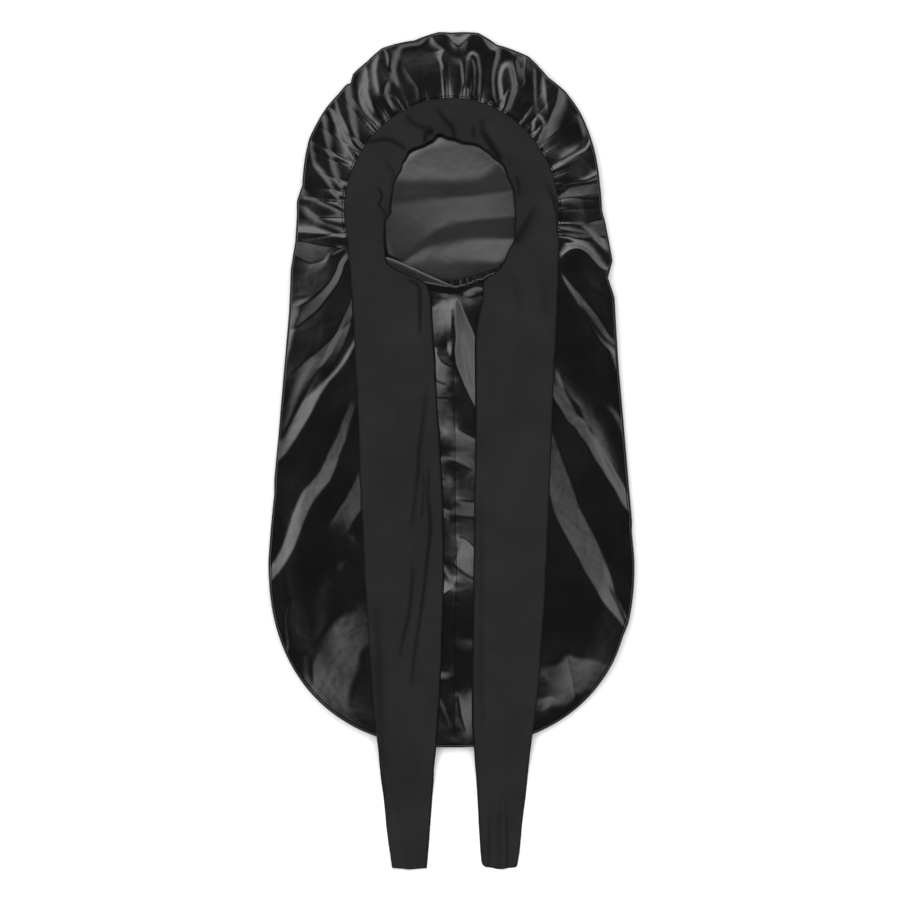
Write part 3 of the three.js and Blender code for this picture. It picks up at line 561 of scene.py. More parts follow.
# Plan of the bag
def seam_radius(angle):
    turn = np.radians(angle)
    ring = np.hypot(np.sin(turn) / SEAM_HALF_WIDTH, np.cos(turn) / SEAM_HALF_LENGTH)
    aside = np.hypot(np.sin(turn), NAPE_ROUND) - NAPE_ROUND
    nape = np.maximum(0, (NAPE_RISE * aside - np.cos(turn)) / NAPE_DROP)
    return (ring**CORNER_POWER + nape**CORNER_POWER) ** (-1 / CORNER_POWER)


def half_width(y):
    up = np.clip((y - WIDEST_Y) / SIDE_LENGTH, 0, None)
    down = np.clip((WIDEST_Y - y) / HEM_DEPTH, 0, 1)
    side = WIDEST_HALF - SIDE_TAPER * up**TAPER_POWER
    hem = WIDEST_HALF * (1 - down**HEM_POWER) ** (1 / HEM_POWER)
    return np.where(y >= WIDEST_Y, side, hem)


def outline_radius(angle):
    """Distance from the middle of the opening to the plain outline of the bag."""
    turn = np.radians(angle)
    side_reach = half_width(np.array(float(OPENING_Y)))
    crown = lerp(side_reach, CROWN_REACH, np.cos(turn) ** 2)
    inside = np.zeros_like(turn)
    outside = np.full_like(turn, OPENING_Y - WIDEST_Y + HEM_DEPTH + side_reach)
    for _ in range(HALVINGS):
        radius = (inside + outside) / 2
        y = OPENING_Y + radius * np.cos(turn)
        within = (y > WIDEST_Y - HEM_DEPTH) & (np.abs(radius * np.sin(turn)) < half_width(y))
        inside = np.where(within, radius, inside)
        outside = np.where(within, outside, radius)
    return np.where(np.cos(turn) >= 0, crown, inside)


def edge_cosine(angle):
    """How squarely a ray from the opening meets the outline."""
    radius = outline_radius(angle)
    change = (outline_radius(angle + 0.5) - outline_radius(angle - 0.5)) / np.radians(1)
    return radius / np.hypot(radius, change)


def rim_radius(angle):
    """Distance from the middle of the opening to the outline with its corners."""
    angles, reaches = np.transpose(CORNERS)
    return outline_radius(angle) + np.interp(angle, angles, reaches, left=0, right=0)


def depth_in_ties(x, y):
    """How far a place lies inside the nearer tie, below 0 beside it."""
    rows = TIE_ROWS[::-1]
    edges = [
        np.interp(y, [row.inner_y for row in rows], [getattr(row, name) for row in rows])
        for name in ("left_outer", "left_inner", "right_inner", "right_outer")
    ]
    left = np.minimum(x - edges[0], edges[1] - x)
    right = np.minimum(x - edges[2], edges[3] - x)
    return np.maximum(left, right)


def under_ties(x, y):
    """1 well under a tie, 0 well beside it."""
    inside = smoothstep(depth_in_ties(x, y), -PRESSED_MARGIN, PRESSED_INSET)
    return np.where(y > TIE_ROWS[0].inner_y, 0, inside)


def covered(places):
    """Whether the band or a tie hides the satin there."""
    x, y = places[:, 0], places[:, 1]
    return (depth_in_ties(x, y) > HIDDEN_MARGIN) & (y < HIDDEN_TOP)


# Curves
def smooth_curve(points, step):
    """Points about step apart along a smooth curve through the given ones."""
    points = np.asarray(points, float)
    padded = np.concatenate([[2 * points[0] - points[1]], points, [2 * points[-1] - points[-2]]])
    result = []
    for index in range(1, len(padded) - 2):
        before, first, second, after = padded[index - 1:index + 3]
        count = max(1, int(round(np.linalg.norm(second - first) / step)))
        share = np.arange(count)[:, None] / count
        result.append(
            first
            + share * (second - before) / 2
            + share**2 * (before - 2.5 * first + 2 * second - after / 2)
            + share**3 * (1.5 * (first - second) + (after - before) / 2)
        )
    return np.concatenate(result + [padded[-2:-1]])


def counted_curve(points, count):
    """So many points along a smooth curve through given ones that lie at uneven distances."""
    points = np.asarray(points, float)
    padded = np.concatenate([[2 * points[0] - points[1]], points, [2 * points[-1] - points[-2]]])
    knots = np.concatenate([[0], np.cumsum(np.sqrt(np.linalg.norm(np.diff(padded, axis=0), axis=1)))])
    result = []
    for value in np.linspace(0, len(points) - 1, count):
        index = min(int(value), len(points) - 2)
        t0, t1, t2, t3 = knots[index:index + 4]
        p0, p1, p2, p3 = padded[index:index + 4]
        t = lerp(t1, t2, value - index)
        a1 = lerp(p0, p1, (t - t0) / (t1 - t0))
        a2 = lerp(p1, p2, (t - t1) / (t2 - t1))
        a3 = lerp(p2, p3, (t - t2) / (t3 - t2))
        b1 = lerp(a1, a2, (t - t0) / (t2 - t0))
        b2 = lerp(a2, a3, (t - t1) / (t3 - t1))
        result.append(lerp(b1, b2, (t - t1) / (t2 - t1)))
    return np.array(result)


def run_along(curve):
    """How far each point of a curve lies along it."""
    return np.concatenate([[0], np.cumsum(np.linalg.norm(np.diff(curve, axis=0), axis=1))])


def along_curve(values, share):
    values = np.atleast_1d(values)
    return np.interp(share, np.linspace(0, 1, len(values)), values)


# Creases
def nearest_on(curve, places):
    """For each place: its distance from the curve, the unit vector away from it, whether it lies on the
    left, and how far along the curve its nearest point is. Then the length of the curve."""
    distance = np.full(len(places), np.inf)
    away = np.zeros_like(places)
    on_left = np.zeros(len(places), bool)
    run = np.zeros(len(places))
    begun = 0
    for start, end in zip(curve[:-1], curve[1:]):
        length = np.linalg.norm(end - start)
        ahead = (end - start) / length
        offset = places - start
        walked = np.clip(offset @ ahead, 0, length)
        apart = offset - walked[:, None] * ahead
        gap = np.hypot(apart[:, 0], apart[:, 1])
        closer = gap < distance
        distance[closer] = gap[closer]
        away[closer] = apart[closer] / np.maximum(gap[closer], TINY)[:, None]
        on_left[closer] = (ahead[0] * offset[:, 1] - ahead[1] * offset[:, 0] > 0)[closer]
        run[closer] = begun + walked[closer]
        begun += length
    return distance, away, on_left, run, begun


def beside(crease, curve, places):
    """For each place: its distance from the crease's line, the unit vector away from it, whether it lies on
    the left, and the crease's width on that side, its slope and how much of it is left near its ends."""
    distance, away, on_left, run, length = nearest_on(curve, places)
    share = run / length
    width = np.where(on_left, along_curve(crease.left, share), along_curve(crease.right, share))
    ends = smoothstep(np.minimum(run, length - run), -1, END_FADE)
    return distance, away, on_left, width, along_curve(crease.slope, share), ends


def step_fall(distance, width):
    """Slope across a step: a steep core with a wide soft skirt."""
    core = 1 - np.clip(distance / np.maximum(width, TINY), 0, 1)
    skirt = 1 - np.clip(distance / np.maximum(width * SKIRT_REACH, TINY), 0, 1)
    return (1 - SKIRT_SHARE) * core + SKIRT_SHARE * skirt**2


def add_crease(slopes, grid, crease):
    """Add the slopes of one crease to the slopes over the grid. The cloth falls away from the line."""
    curve = smooth_curve(crease.path, CREASE_STEP)
    reach = SKIRT_REACH * max(np.max(crease.left), np.max(crease.right))
    near = ((grid > curve.min(0) - reach) & (grid < curve.max(0) + reach)).all(-1)
    distance, away, on_left, width, slope, ends = beside(crease, curve, grid[near])
    part = np.clip(distance / np.maximum(width, TINY), 0, 1)
    crest = np.clip(distance / CREST_ROUND, 0, 1)
    falls = {
        "step": step_fall(distance, width) * np.where(on_left, 1, -1),
        "swell": np.sin(np.pi * part),
        "wave": smoothstep(part, 0, WAVE_SOFT) * (1 - smoothstep(part, 1 - WAVE_SOFT, 1)),
        "band": crest * (1 - smoothstep(part, BAND_FOOT, 1)),
        "fold": crest * (1 - part),
    }
    slopes[near] -= away * (slope * (width > 0) * falls[crease.shape] * ends)[:, None]


class CreaseField:
    """The cloth whose slopes come closest to those of all the creases, over a grid of the plane. Beyond
    the return length it sinks back to its level."""

    def __init__(self, creases, return_length):
        x = np.arange(GRID_LOW[0], GRID_HIGH[0], GRID_STEP)
        y = np.arange(GRID_LOW[1], GRID_HIGH[1], GRID_STEP)
        grid = np.stack(np.meshgrid(x, y), -1)
        slopes = np.zeros(grid.shape)
        for crease in creases:
            add_crease(slopes, grid, crease)
        source = np.zeros(grid.shape[:2])
        source[:, 1:] += np.diff(slopes[..., 0], axis=1) / GRID_STEP
        source[1:] += np.diff(slopes[..., 1], axis=0) / GRID_STEP
        padded = np.concatenate([source, source[::-1]], 0)
        padded = np.concatenate([padded, padded[:, ::-1]], 1)
        around_y = 2 * np.cos(2 * np.pi * np.fft.fftfreq(padded.shape[0])) - 2
        around_x = 2 * np.cos(2 * np.pi * np.fft.rfftfreq(padded.shape[1])) - 2
        bend = (around_y[:, None] + around_x[None, :]) / GRID_STEP**2 - 1 / return_length**2
        solved = np.fft.irfft2(np.fft.rfft2(padded) / bend, padded.shape)
        self.height = solved[:len(y), :len(x)]
        self.height -= np.median(self.height)

    def at(self, points):
        """Smoothly interpolated heights over points in the plane."""
        place = (points - np.array(GRID_LOW)) / GRID_STEP
        left = np.clip(np.floor(place).astype(int), 1, np.array(self.height.shape[::-1]) - 3)
        share = place - left

        def weights(s):
            return (
                -0.5 * s + s**2 - 0.5 * s**3,
                1 - 2.5 * s**2 + 1.5 * s**3,
                0.5 * s + 2 * s**2 - 1.5 * s**3,
                -0.5 * s**2 + 0.5 * s**3,
            )

        total = np.zeros(len(points))
        for row, weight_y in zip(range(-1, 3), weights(share[:, 1])):
            for column, weight_x in zip(range(-1, 3), weights(share[:, 0])):
                total += weight_x * weight_y * self.height[left[:, 1] + row, left[:, 0] + column]
        return total


LIFTED = [crease._replace(slope=np.multiply(crease.slope, CROWN_LIFT)) for crease in CROWN_CREASES]
FRONT_FIELD = CreaseField(LIFTED + LENGTH_CREASES + CENTRE_CREASES, SATIN_RETURN)
BACK_FIELD = CreaseField(BACK_CREASES, BACK_RETURN)
KNIT_FIELD = CreaseField(KNIT_CREASES, KNIT_RETURN)


# Heights of the front
def gathers(angle, away):
    """Small gathers beside the seam: rounded humps between random sharp valleys."""
    random = np.random.default_rng(GATHER_SEED)
    valleys = [0.0]
    while valleys[-1] < 360:
        valleys.append(valleys[-1] + random.uniform(*GATHER_SPACING))
    valleys = np.array(valleys) * 360 / valleys[-1] - 180
    heights = random.uniform(*GATHER_HEIGHT, len(valleys) - 1)
    reaches = random.uniform(*GATHER_REACH, len(valleys) - 1)
    around = np.mod(angle + 180, 360) - 180
    index = np.clip(np.searchsorted(valleys, around, side="right") - 1, 0, len(heights) - 1)
    share = (around - valleys[index]) / (valleys[index + 1] - valleys[index])
    hump = (4 * share * (1 - share)) ** GATHER_POWER
    fade = np.exp(-np.clip(away, 0, None) / reaches[index])
    fade = fade * (1 - NAPE_CALM * smoothstep(np.abs(around), *NAPE_ANGLES))
    return (hump - 0.5) * heights[index] * fade


def centre_seam_x(y):
    seam_x, seam_y = np.transpose(CENTRE_SEAM)
    return np.interp(y, seam_y, seam_x)


def seam_dips(x, y, edge):
    """How deep the cloth is drawn in along the centre seam and along the hem seam."""
    aside = x - centre_seam_x(y)
    centre = SEAM_DIP * np.exp(-((aside / SEAM_DIP_WIDTH) ** 2))
    centre *= smoothstep(y, SEAM_TOP, SEAM_TOP - SEAM_FADE)
    random = np.random.default_rng(PUCKER_SEED)
    spots = np.arange(GRID_LOW[1], SEAM_TOP, PUCKER_STEP)
    pull = np.interp(y, spots, random.uniform(-PUCKER_HEIGHT, PUCKER_HEIGHT, len(spots)))
    puckers = pull * np.exp(-np.abs(aside) / PUCKER_REACH) * smoothstep(y, SEAM_TOP, SEAM_TOP - PUCKER_FADE)
    hem = SEAM_DIP * np.exp(-(((edge - HEM_SEAM_INSET) / SEAM_DIP_WIDTH) ** 2))
    return centre + puckers + hem * smoothstep(y, HEM_SEAM_TOP, HEM_SEAM_TOP - HEM_SEAM_FADE)


def front_height(points):
    """Height of the front of the bag over points in the plane."""
    x, y = points[:, 0], points[:, 1]
    angle, radius = angle_and_radius(points)
    edge = (rim_radius(angle) - radius) * edge_cosine(angle)
    away = radius - seam_radius(angle)
    up = np.cos(np.radians(angle))
    body = EDGE_HEIGHT + EDGE_RISE * round_up(edge / EDGE_WIDTH) + BODY_RISE * smoothstep(edge, 0, BODY_WIDTH)
    root = lerp(NAPE_HEIGHT, SEAM_HEIGHT, smoothstep(up, NAPE_TURN["all"], NAPE_TURN["none"]))
    folds = FRONT_FIELD.at(points) * round_up(edge / FOLD_END)
    small = gathers(angle, away) * (1 - PRESSED * under_ties(x, y)) * smoothstep(away, -SEAM_TUCK, 2)
    return lerp(root, body, smoothstep(away, 0, SEAM_BLEND)) + folds + small - seam_dips(x, y, edge)


# Meshes
def zip_faces(first, second):
    """Faces between two closed rings of as many numbers."""
    return list(zip(first, np.roll(first, -1), np.roll(second, -1), second))


def new_mesh(name, points, faces, materials, which=None):
    mesh = bpy.data.meshes.new(name)
    mesh.from_pydata((np.asarray(points) * MM).tolist(), [], [tuple(int(n) for n in face) for face in faces])
    for material in materials:
        mesh.materials.append(material)
    if which is not None:
        mesh.polygons.foreach_set("material_index", which)
    mesh.polygons.foreach_set("use_smooth", [True] * len(faces))
    mesh.update()
    piece = bpy.data.objects.new(name, mesh)
    bpy.context.collection.objects.link(piece)
    return piece


def lattice(spacing, low, high):
    """Points of a triangular lattice inside a box."""
    rows = int((high[1] - low[1]) / (spacing * LATTICE_ROW)) + 1
    columns = int((high[0] - low[0]) / spacing) + 1
    row, column = np.mgrid[0:rows, 0:columns]
    x = low[0] + (column + (row % 2) / 2) * spacing
    y = low[1] + row * spacing * LATTICE_ROW
    return np.stack([x.ravel(), y.ravel()], -1)


def rim_angles():
    """Angles of points that lie evenly along the outline."""
    fine = np.linspace(-180, 180, RIM_SAMPLES)
    run = run_along(in_plane(fine, rim_radius(fine)))
    count = 2 * round(run[-1] / RING_SPACING / 2)
    return np.interp(np.arange(count) / count * run[-1], run, fine)


def front_points():
    """Places of the front's points between its seam and its edge, kept clear of both rings."""
    low = (-WIDEST_HALF - LATTICE_MARGIN[0], WIDEST_Y - HEM_DEPTH)
    high = (WIDEST_HALF + LATTICE_MARGIN[0], OPENING_Y + CROWN_REACH + LATTICE_MARGIN[1])
    parts = []
    for spacing, where in ((CROWN_SPACING, "crown"), (LENGTH_SPACING, "length"), (HIDDEN_SPACING, "hidden")):
        points = lattice(spacing, low, high)
        angle, radius = angle_and_radius(points)
        to_rim = (rim_radius(angle) - radius) * edge_cosine(angle) - EDGE_ROWS[0]
        clear = (to_rim > CLEARANCE * spacing) & (radius - seam_radius(angle) > CLEARANCE * spacing)
        hidden = covered(points)
        in_crown = points[:, 1] >= CROWN_END
        wanted = {"crown": in_crown & ~hidden, "length": ~in_crown & ~hidden, "hidden": hidden}
        parts.append(points[clear & wanted[where]])
    return np.concatenate(parts)


def sheet_front(name, materials):
    """The front of the bag with its edges turned under, its rim in the second material."""
    angle = rim_angles()
    count = len(angle)
    seam_at = seam_radius(angle)
    rim_at = rim_radius(angle)
    cosine = edge_cosine(angle)
    edge_at = rim_at - EDGE_ROWS[0] / cosine
    flat = np.concatenate([in_plane(angle, seam_at), in_plane(angle, edge_at), front_points()])
    limits = [(start + a, start + (a + 1) % count) for start in (0, count) for a in range(count)]
    joined = delaunay_2d_cdt([Vector(place) for place in flat.tolist()], limits, [], 0, WELD)
    corners, _, faces, came_from = joined[:4]
    flat = np.array([tuple(corner) for corner in corners])
    numbers = {came[0]: index for index, came in enumerate(came_from) if came}
    faces = np.array(faces)
    around, radius = angle_and_radius(flat[faces].mean(1))
    beyond_seam = radius > np.interp(around, angle, seam_at, period=360)
    triangles = faces[beyond_seam & (radius < np.interp(around, angle, edge_at, period=360))].tolist()
    top = np.column_stack([flat, front_height(flat)])
    points = [top]
    total = len(top)
    quads = []
    rim = []
    above = np.array([numbers[a] for a in range(count)])
    seam_height = top[above, 2]
    for tuck in TUCK_ROWS:
        points.append(np.column_stack([in_plane(angle, seam_at + tuck), seam_height + tuck * TUCK_SLOPE]))
        following = total + np.arange(count)
        total += count
        quads += zip_faces(following, above)
        above = following
    above = np.array([numbers[count + a] for a in range(count)])
    rows = [(inset, False) for inset in EDGE_ROWS[1:]] + [(inset, True) for inset in TURN_ROWS]
    for inset, turned_under in rows:
        places = in_plane(angle, rim_at - inset / cosine)
        if turned_under:
            height = np.full(count, lerp(EDGE_HEIGHT, FLOOR_GAP, round_up(inset / FLOOR_TURN)))
        else:
            height = front_height(places)
        points.append(np.column_stack([places, height]))
        following = total + np.arange(count)
        total += count
        matt = turned_under or inset <= RIM_MATT
        (rim if matt else quads).extend(zip_faces(above, following))
        above = following
    which = [0] * (len(triangles) + len(quads)) + [1] * len(rim)
    return new_mesh(name, np.concatenate(points), triangles + quads + rim, materials, which)


def back_height(places):
    x, y = places[:, 0], places[:, 1] - OPENING_Y
    inside = smoothstep(1 - np.hypot(x / BACK_HALF_WIDTH, y / BACK_HALF_LENGTH), 0, BACK_FADE)
    return BACK_LEVEL + np.clip(BACK_LIFT + BACK_FIELD.at(places), 0, None) * inside


def back_rings():
    """Rings of points from the outline of the back to its middle."""
    angle = np.linspace(-180, 180, BACK_COLUMNS, endpoint=False)
    outline = outline_radius(angle) - BACK_LAP / edge_cosine(angle)
    rows = []
    for step in range(BACK_RINGS, 0, -1):
        share = (step / BACK_RINGS) ** BACK_CROWDING
        places = in_plane(angle, outline * share)
        lap = BACK_LAP_RISE * smoothstep(share, BACK_LAP_START, 1)
        rows.append(np.column_stack([places, back_height(places) + SATIN + lap]))
    return np.stack(rows)


def closed_patch(name, grid, wall, materials):
    """A closed sheet from rings round a middle, its upper side in the first material."""
    rows, count = grid.shape[:2]
    top = np.arange(rows * count).reshape(rows, count)
    bottom = top + rows * count
    centre = 2 * rows * count
    above = [face for row in range(rows - 1) for face in zip_faces(top[row], top[row + 1])]
    above += [(top[-1][step], top[-1][(step + 1) % count], centre) for step in range(count)]
    below = [face for row in range(rows - 1) for face in zip_faces(bottom[row + 1], bottom[row])]
    below += [(bottom[-1][(step + 1) % count], bottom[-1][step], centre + 1) for step in range(count)]
    below += zip_faces(bottom[0], top[0])
    down = np.array([0, 0, wall])
    middle = grid[-1].mean(0)
    points = np.concatenate([grid.reshape(-1, 3), (grid - down).reshape(-1, 3), [middle, middle - down]])
    return new_mesh(name, points, above + below, materials, [0] * len(above) + [1] * len(below))


def ground_under(points, pieces):
    """Highest point of the pieces under each of the points, 0 where there is none."""
    trees = []
    for piece in pieces:
        mesh = piece.data
        vertices = [vertex.co for vertex in mesh.vertices]
        trees.append(BVHTree.FromPolygons(vertices, [tuple(face.vertices) for face in mesh.polygons]))
    heights = np.zeros(len(points))
    down = Vector((0, 0, -1))
    for index, (x, y) in enumerate(points * MM):
        for tree in trees:
            hit = tree.ray_cast(Vector((x, y, 1)), down)[0]
            if hit is not None:
                heights[index] = max(heights[index], hit.z / MM)
    return heights


# Knit strip
def strip_edges():
    """Outer and inner edge of the strip: left tie from its end, round the band, right tie to its end."""
    def tie(edge, level):
        return counted_curve([(getattr(row, edge), getattr(row, level)) for row in TIE_ROWS], TIE_POINTS)

    angle = np.linspace(-BAND_ANGLE, BAND_ANGLE, BAND_POINTS)[1:-1]
    knots, radii = np.transpose(BAND_INNER)
    index = np.clip(np.searchsorted(knots, angle), 1, len(knots) - 1)
    share = np.clip((angle - knots[index - 1]) / (knots[index] - knots[index - 1]), 0, 1)
    inner_radius = lerp(radii[index - 1], radii[index], (1 - np.cos(np.pi * share)) / 2)
    outer_band = in_plane(angle, seam_radius(angle))
    inner_band = in_plane(angle, inner_radius)
    outer = [tie("left_outer", "outer_y")[::-1], outer_band, tie("right_outer", "outer_y")]
    inner = [tie("left_inner", "inner_y")[::-1], inner_band, tie("right_inner", "inner_y")]
    return evenly(np.concatenate(outer), np.concatenate(inner), STRIP_STEP)


def evenly(curve_a, curve_b, step):
    """Both curves at stations step apart along their middle."""
    run = run_along((curve_a + curve_b) / 2)
    count = max(2, int(round(run[-1] / step)) + 1)
    wanted = np.linspace(0, run[-1], count)

    def pick(curve):
        return np.stack([np.interp(wanted, run, curve[:, axis]) for axis in (0, 1)], -1)

    return pick(curve_a), pick(curve_b)


def lay_over(ground, places):
    """Heights of a cloth laid over the ground: it bridges hollows, and is smoothed above what it touches."""
    height = ground.copy()
    for _ in range(LAY_ROUNDS):
        for axis, slope in ((1, STRIP_SLOPE_ACROSS), (0, STRIP_SLOPE_ALONG)):
            height = np.moveaxis(height, axis, 0)
            spots = np.moveaxis(places, axis, 0)
            run = np.linalg.norm(np.diff(spots, axis=0), axis=-1)
            for index in range(1, len(height)):
                height[index] = np.maximum(height[index], height[index - 1] - slope * run[index - 1])
            for index in range(len(height) - 2, -1, -1):
                height[index] = np.maximum(height[index], height[index + 1] - slope * run[index])
            height = np.moveaxis(height, 0, axis)
    for _ in range(STRIP_SMOOTHING):
        padded = np.pad(height, 1, mode="edge")
        mean = (padded[2:, 1:-1] + padded[:-2, 1:-1] + padded[1:-1, 2:] + padded[1:-1, :-2]) / 4
        height = np.maximum(mean, ground)
    return height


def round_tie_ends(places, width):
    """Pull the corners of the ties' ends in, and let the ends run a little unevenly."""
    share = np.linspace(0, 1, places.shape[1])[None, :]
    fade = np.linspace(1, 0, END_STATIONS)[:, None]
    ends = ((slice(0, END_STATIONS), fade, LEFT_END), (slice(-END_STATIONS, None), fade[::-1], RIGHT_END))
    for station, taper, rounds in ends:
        for round_off, distance in zip(rounds, (share, 1 - share)):
            rise = round_off * (1 - round_up(distance * width[station] / round_off))
            places[station, :, 1] += rise * taper
        places[station, :, 1] += END_WAVE * np.sin(share * END_WAVES * np.pi) * taper


def wander(count, seed):
    """A small random drift along an edge of the strip, in both directions of the plane."""
    random = np.random.default_rng(seed)
    spots = np.arange(0, count + EDGE_WANDER_STEP, EDGE_WANDER_STEP)
    drift = random.uniform(-EDGE_WANDER, EDGE_WANDER, (2, len(spots)))
    return np.stack([np.interp(np.arange(count), spots, side) for side in drift], -1)


def fold_shade(points):
    """How much light reaches each point of the knit: 1 in the open, less down in a fold."""
    shade = np.ones(len(points))
    for crease in KNIT_CREASES:
        curve = smooth_curve(crease.path, CREASE_STEP)
        distance, _, _, width, slope, ends = beside(crease, curve, points)
        part = np.clip(distance / np.maximum(width * SHADE_REACH, SHADE_LEAST), 0, 1)
        depth = np.clip(-slope / SHADE_FULL, 0, 1)
        shade *= 1 - SHADE_DEEPEST * np.sqrt(depth) * ends * (1 - part) ** 2
    return shade


def knit_strip(name, below):
    """The band and both ties as one closed strip, laid over the pieces below it."""
    outer, inner = strip_edges()
    outer = outer + wander(len(outer), EDGE_SEED)
    inner = inner + wander(len(inner), EDGE_SEED + 1)
    width = np.linalg.norm(inner - outer, axis=1)[:, None]
    share = np.linspace(0, 1, STRIP_COLUMNS)
    places = outer[:, None] + (inner - outer)[:, None] * share[None, :, None]
    round_tie_ends(places, width)
    flat = places.reshape(-1, 2)
    shape = places.shape[:2]
    ground = ground_under(flat, below).reshape(shape)
    base = lay_over(np.where(ground > 0, ground + GAP, TIE_LEVEL), places)
    from_edge = width * np.minimum(share, 1 - share)[None, :]
    rounded = round_up(from_edge / STRIP_EDGE)
    creases = np.clip(KNIT_FIELD.at(flat), KNIT_DEEPEST, KNIT_HIGHEST).reshape(shape)
    top = base + KNIT * lerp(EDGE_MIDDLE, 1, rounded) + creases * rounded
    bottom = (base + KNIT * EDGE_MIDDLE * (1 - rounded))[:, ::-2]
    upper = np.concatenate([places, top[..., None]], -1)
    lower = np.concatenate([places[:, ::-2], bottom[..., None]], -1)
    rings = np.concatenate([upper, lower], 1)
    numbers = np.arange(rings.shape[0] * rings.shape[1]).reshape(rings.shape[:2])
    faces = [face for row in range(len(rings) - 1) for face in zip_faces(numbers[row + 1], numbers[row])]
    faces += [numbers[0], numbers[-1][::-1]]
    piece = new_mesh(name, rings.reshape(-1, 3), faces, [jersey()])
    # Painted shade for the knit's colour: painted shadow along both edges, deepest at the inner edge, times
    # painted shade down in the folds; the underside stays 1
    turned = lerp(lerp(OUTER_SHADOW, INNER_SHADOW, share)[None, :], 1, smoothstep(from_edge, 0, SHADOW_WIDTH))
    shade = np.ones(rings.shape[:2])
    shade[:, :STRIP_COLUMNS] = fold_shade(flat).reshape(shape) * turned
    attribute = piece.data.attributes.new("shade", "FLOAT", "POINT")
    attribute.data.foreach_set("value", shade.ravel().astype(np.float32))
    return piece


# Nape roll
def swept(table, below, first_number):
    """Rings and faces of a soft cord along a table of (x, y, width, height, how ruffled)."""
    table = np.array(table, float)
    path = smooth_curve(table[:, :2], NAPE_STEP)
    share = np.linspace(0, 1, len(path))
    width, height, ruffled = (along_curve(table[:, column], share) for column in (2, 3, 4))
    ahead = np.gradient(path, axis=0)
    ahead /= np.linalg.norm(ahead, axis=1)[:, None]
    aside = np.stack([-ahead[:, 1], ahead[:, 0]], -1)
    random = np.random.default_rng(NAPE_SEED)
    spots = np.arange(0, len(path) + RUFFLE_STEP, RUFFLE_STEP)
    stations = np.arange(len(path))
    ruffle, sway = (np.interp(stations, spots, random.uniform(-1, 1, len(spots))) for _ in range(2))
    turn = np.linspace(0, 2 * np.pi, NAPE_SIDES, endpoint=False)
    ground = np.pad(ground_under(path, below) + NAPE_LIFT, NAPE_EVEN, mode="edge")
    window = 2 * NAPE_EVEN + 1
    ground = np.convolve(ground, np.ones(window) / window, "valid")
    ends = np.clip(round_up(np.minimum(share, 1 - share) / ROLL_END), ROLL_END_LEAST, 1)
    size = (1 + ruffled * ruffle * RUFFLE_PINCH) * ends
    squared = np.sign(np.cos(turn)) * np.abs(np.cos(turn)) ** NAPE_SQUARE
    across = (width / 2 * size)[:, None] * squared + (ruffled * sway * RUFFLE_SWAY)[:, None]
    up = (height / 2 * size)[:, None] * (1 + np.sin(turn))
    places = path[:, None] + aside[:, None] * across[..., None]
    rings = np.concatenate([places, (ground[:, None] + up)[..., None]], -1)
    numbers = np.arange(rings.shape[0] * rings.shape[1]).reshape(rings.shape[:2]) + first_number
    faces = [numbers[0][::-1], numbers[-1]]
    for station in range(len(rings) - 1):
        faces += zip_faces(numbers[station], numbers[station + 1])
    return rings.reshape(-1, 3), faces


def nape_roll(name, below):
    """The elastic edge across the nape: a smooth soft roll on its left, a narrow ruffle on its right, and
    below them a near-black matt strip, ruffled like a gathered edge, that is painted shade in the pocket
    under the roll."""
    roll_points, roll_faces = swept(NAPE_ROLL, below, 0)
    # Near-black strip of painted shade in the pocket under the roll
    shade_points, shade_faces = swept(NAPE_PAINTED_SHADE, below, len(roll_points))
    which = [0] * len(roll_faces) + [1] * len(shade_faces)
    points = np.concatenate([roll_points, shade_points])
    return new_mesh(name, points, roll_faces + shade_faces, [ELASTIC, THREAD_AND_PAINTED_SHADE], which)


# Stitching
def stitch_places(curve, pitch):
    """Start and end of each stitch along a curve."""
    run = run_along(curve)
    starts = np.arange(pitch / 2, run[-1] - pitch, pitch)
    pick = [np.interp(starts + shift, run, curve[:, axis])
            for shift in (0, pitch * STITCH_SHARE) for axis in (0, 1)]
    return np.stack(pick, -1)


def sew(name, curves, below):
    """Lines of short stitches that lie on the satin, each a small four-sided spindle of thread."""
    ends = np.concatenate([stitch_places(curve, STITCH_PITCH) for curve in curves])
    starts, stops = ends[:, :2], ends[:, 2:]
    low = ground_under(starts, below) + GAP
    high = ground_under(stops, below) + GAP
    ahead = (stops - starts) / np.linalg.norm(stops - starts, axis=1)[:, None]
    aside = np.stack([-ahead[:, 1], ahead[:, 0]], -1)
    points = []
    for share, size in SPINDLE:
        middle = lerp(starts, stops, share)
        level = lerp(low, high, share)
        for side, up in ((1, 0), (0, 1), (-1, 0), (0, -1)):
            plane = middle + aside * side * size * THREAD / 2
            points.append(np.column_stack([plane, level + up * size * THREAD / 2]))
    points = np.stack(points, 1)
    faces = []
    for stitch in range(len(points)):
        numbers = np.arange(len(SPINDLE) * 4).reshape(-1, 4) + stitch * len(SPINDLE) * 4
        for row in range(len(SPINDLE) - 1):
            faces += zip_faces(numbers[row], numbers[row + 1])
        faces += [numbers[0][::-1], numbers[-1]]
    return new_mesh(name, points.reshape(-1, 3), faces, [THREAD_AND_PAINTED_SHADE])


def seam_lines():
    """Courses of the stitching: beside the band, down the centre seam and round the hem."""
    band = np.linspace(-BAND_SEAM_ANGLE, BAND_SEAM_ANGLE, 400)
    y = np.linspace(*CENTRE_STITCHES, 400)
    hem = np.linspace(*HEM_ANGLES, 700)
    return [
        in_plane(band, seam_radius(band) + BAND_SEAM_OFFSET),
        np.stack([centre_seam_x(y), y], -1),
        in_plane(hem, rim_radius(hem) - HEM_SEAM_INSET / edge_cosine(hem)),
    ]


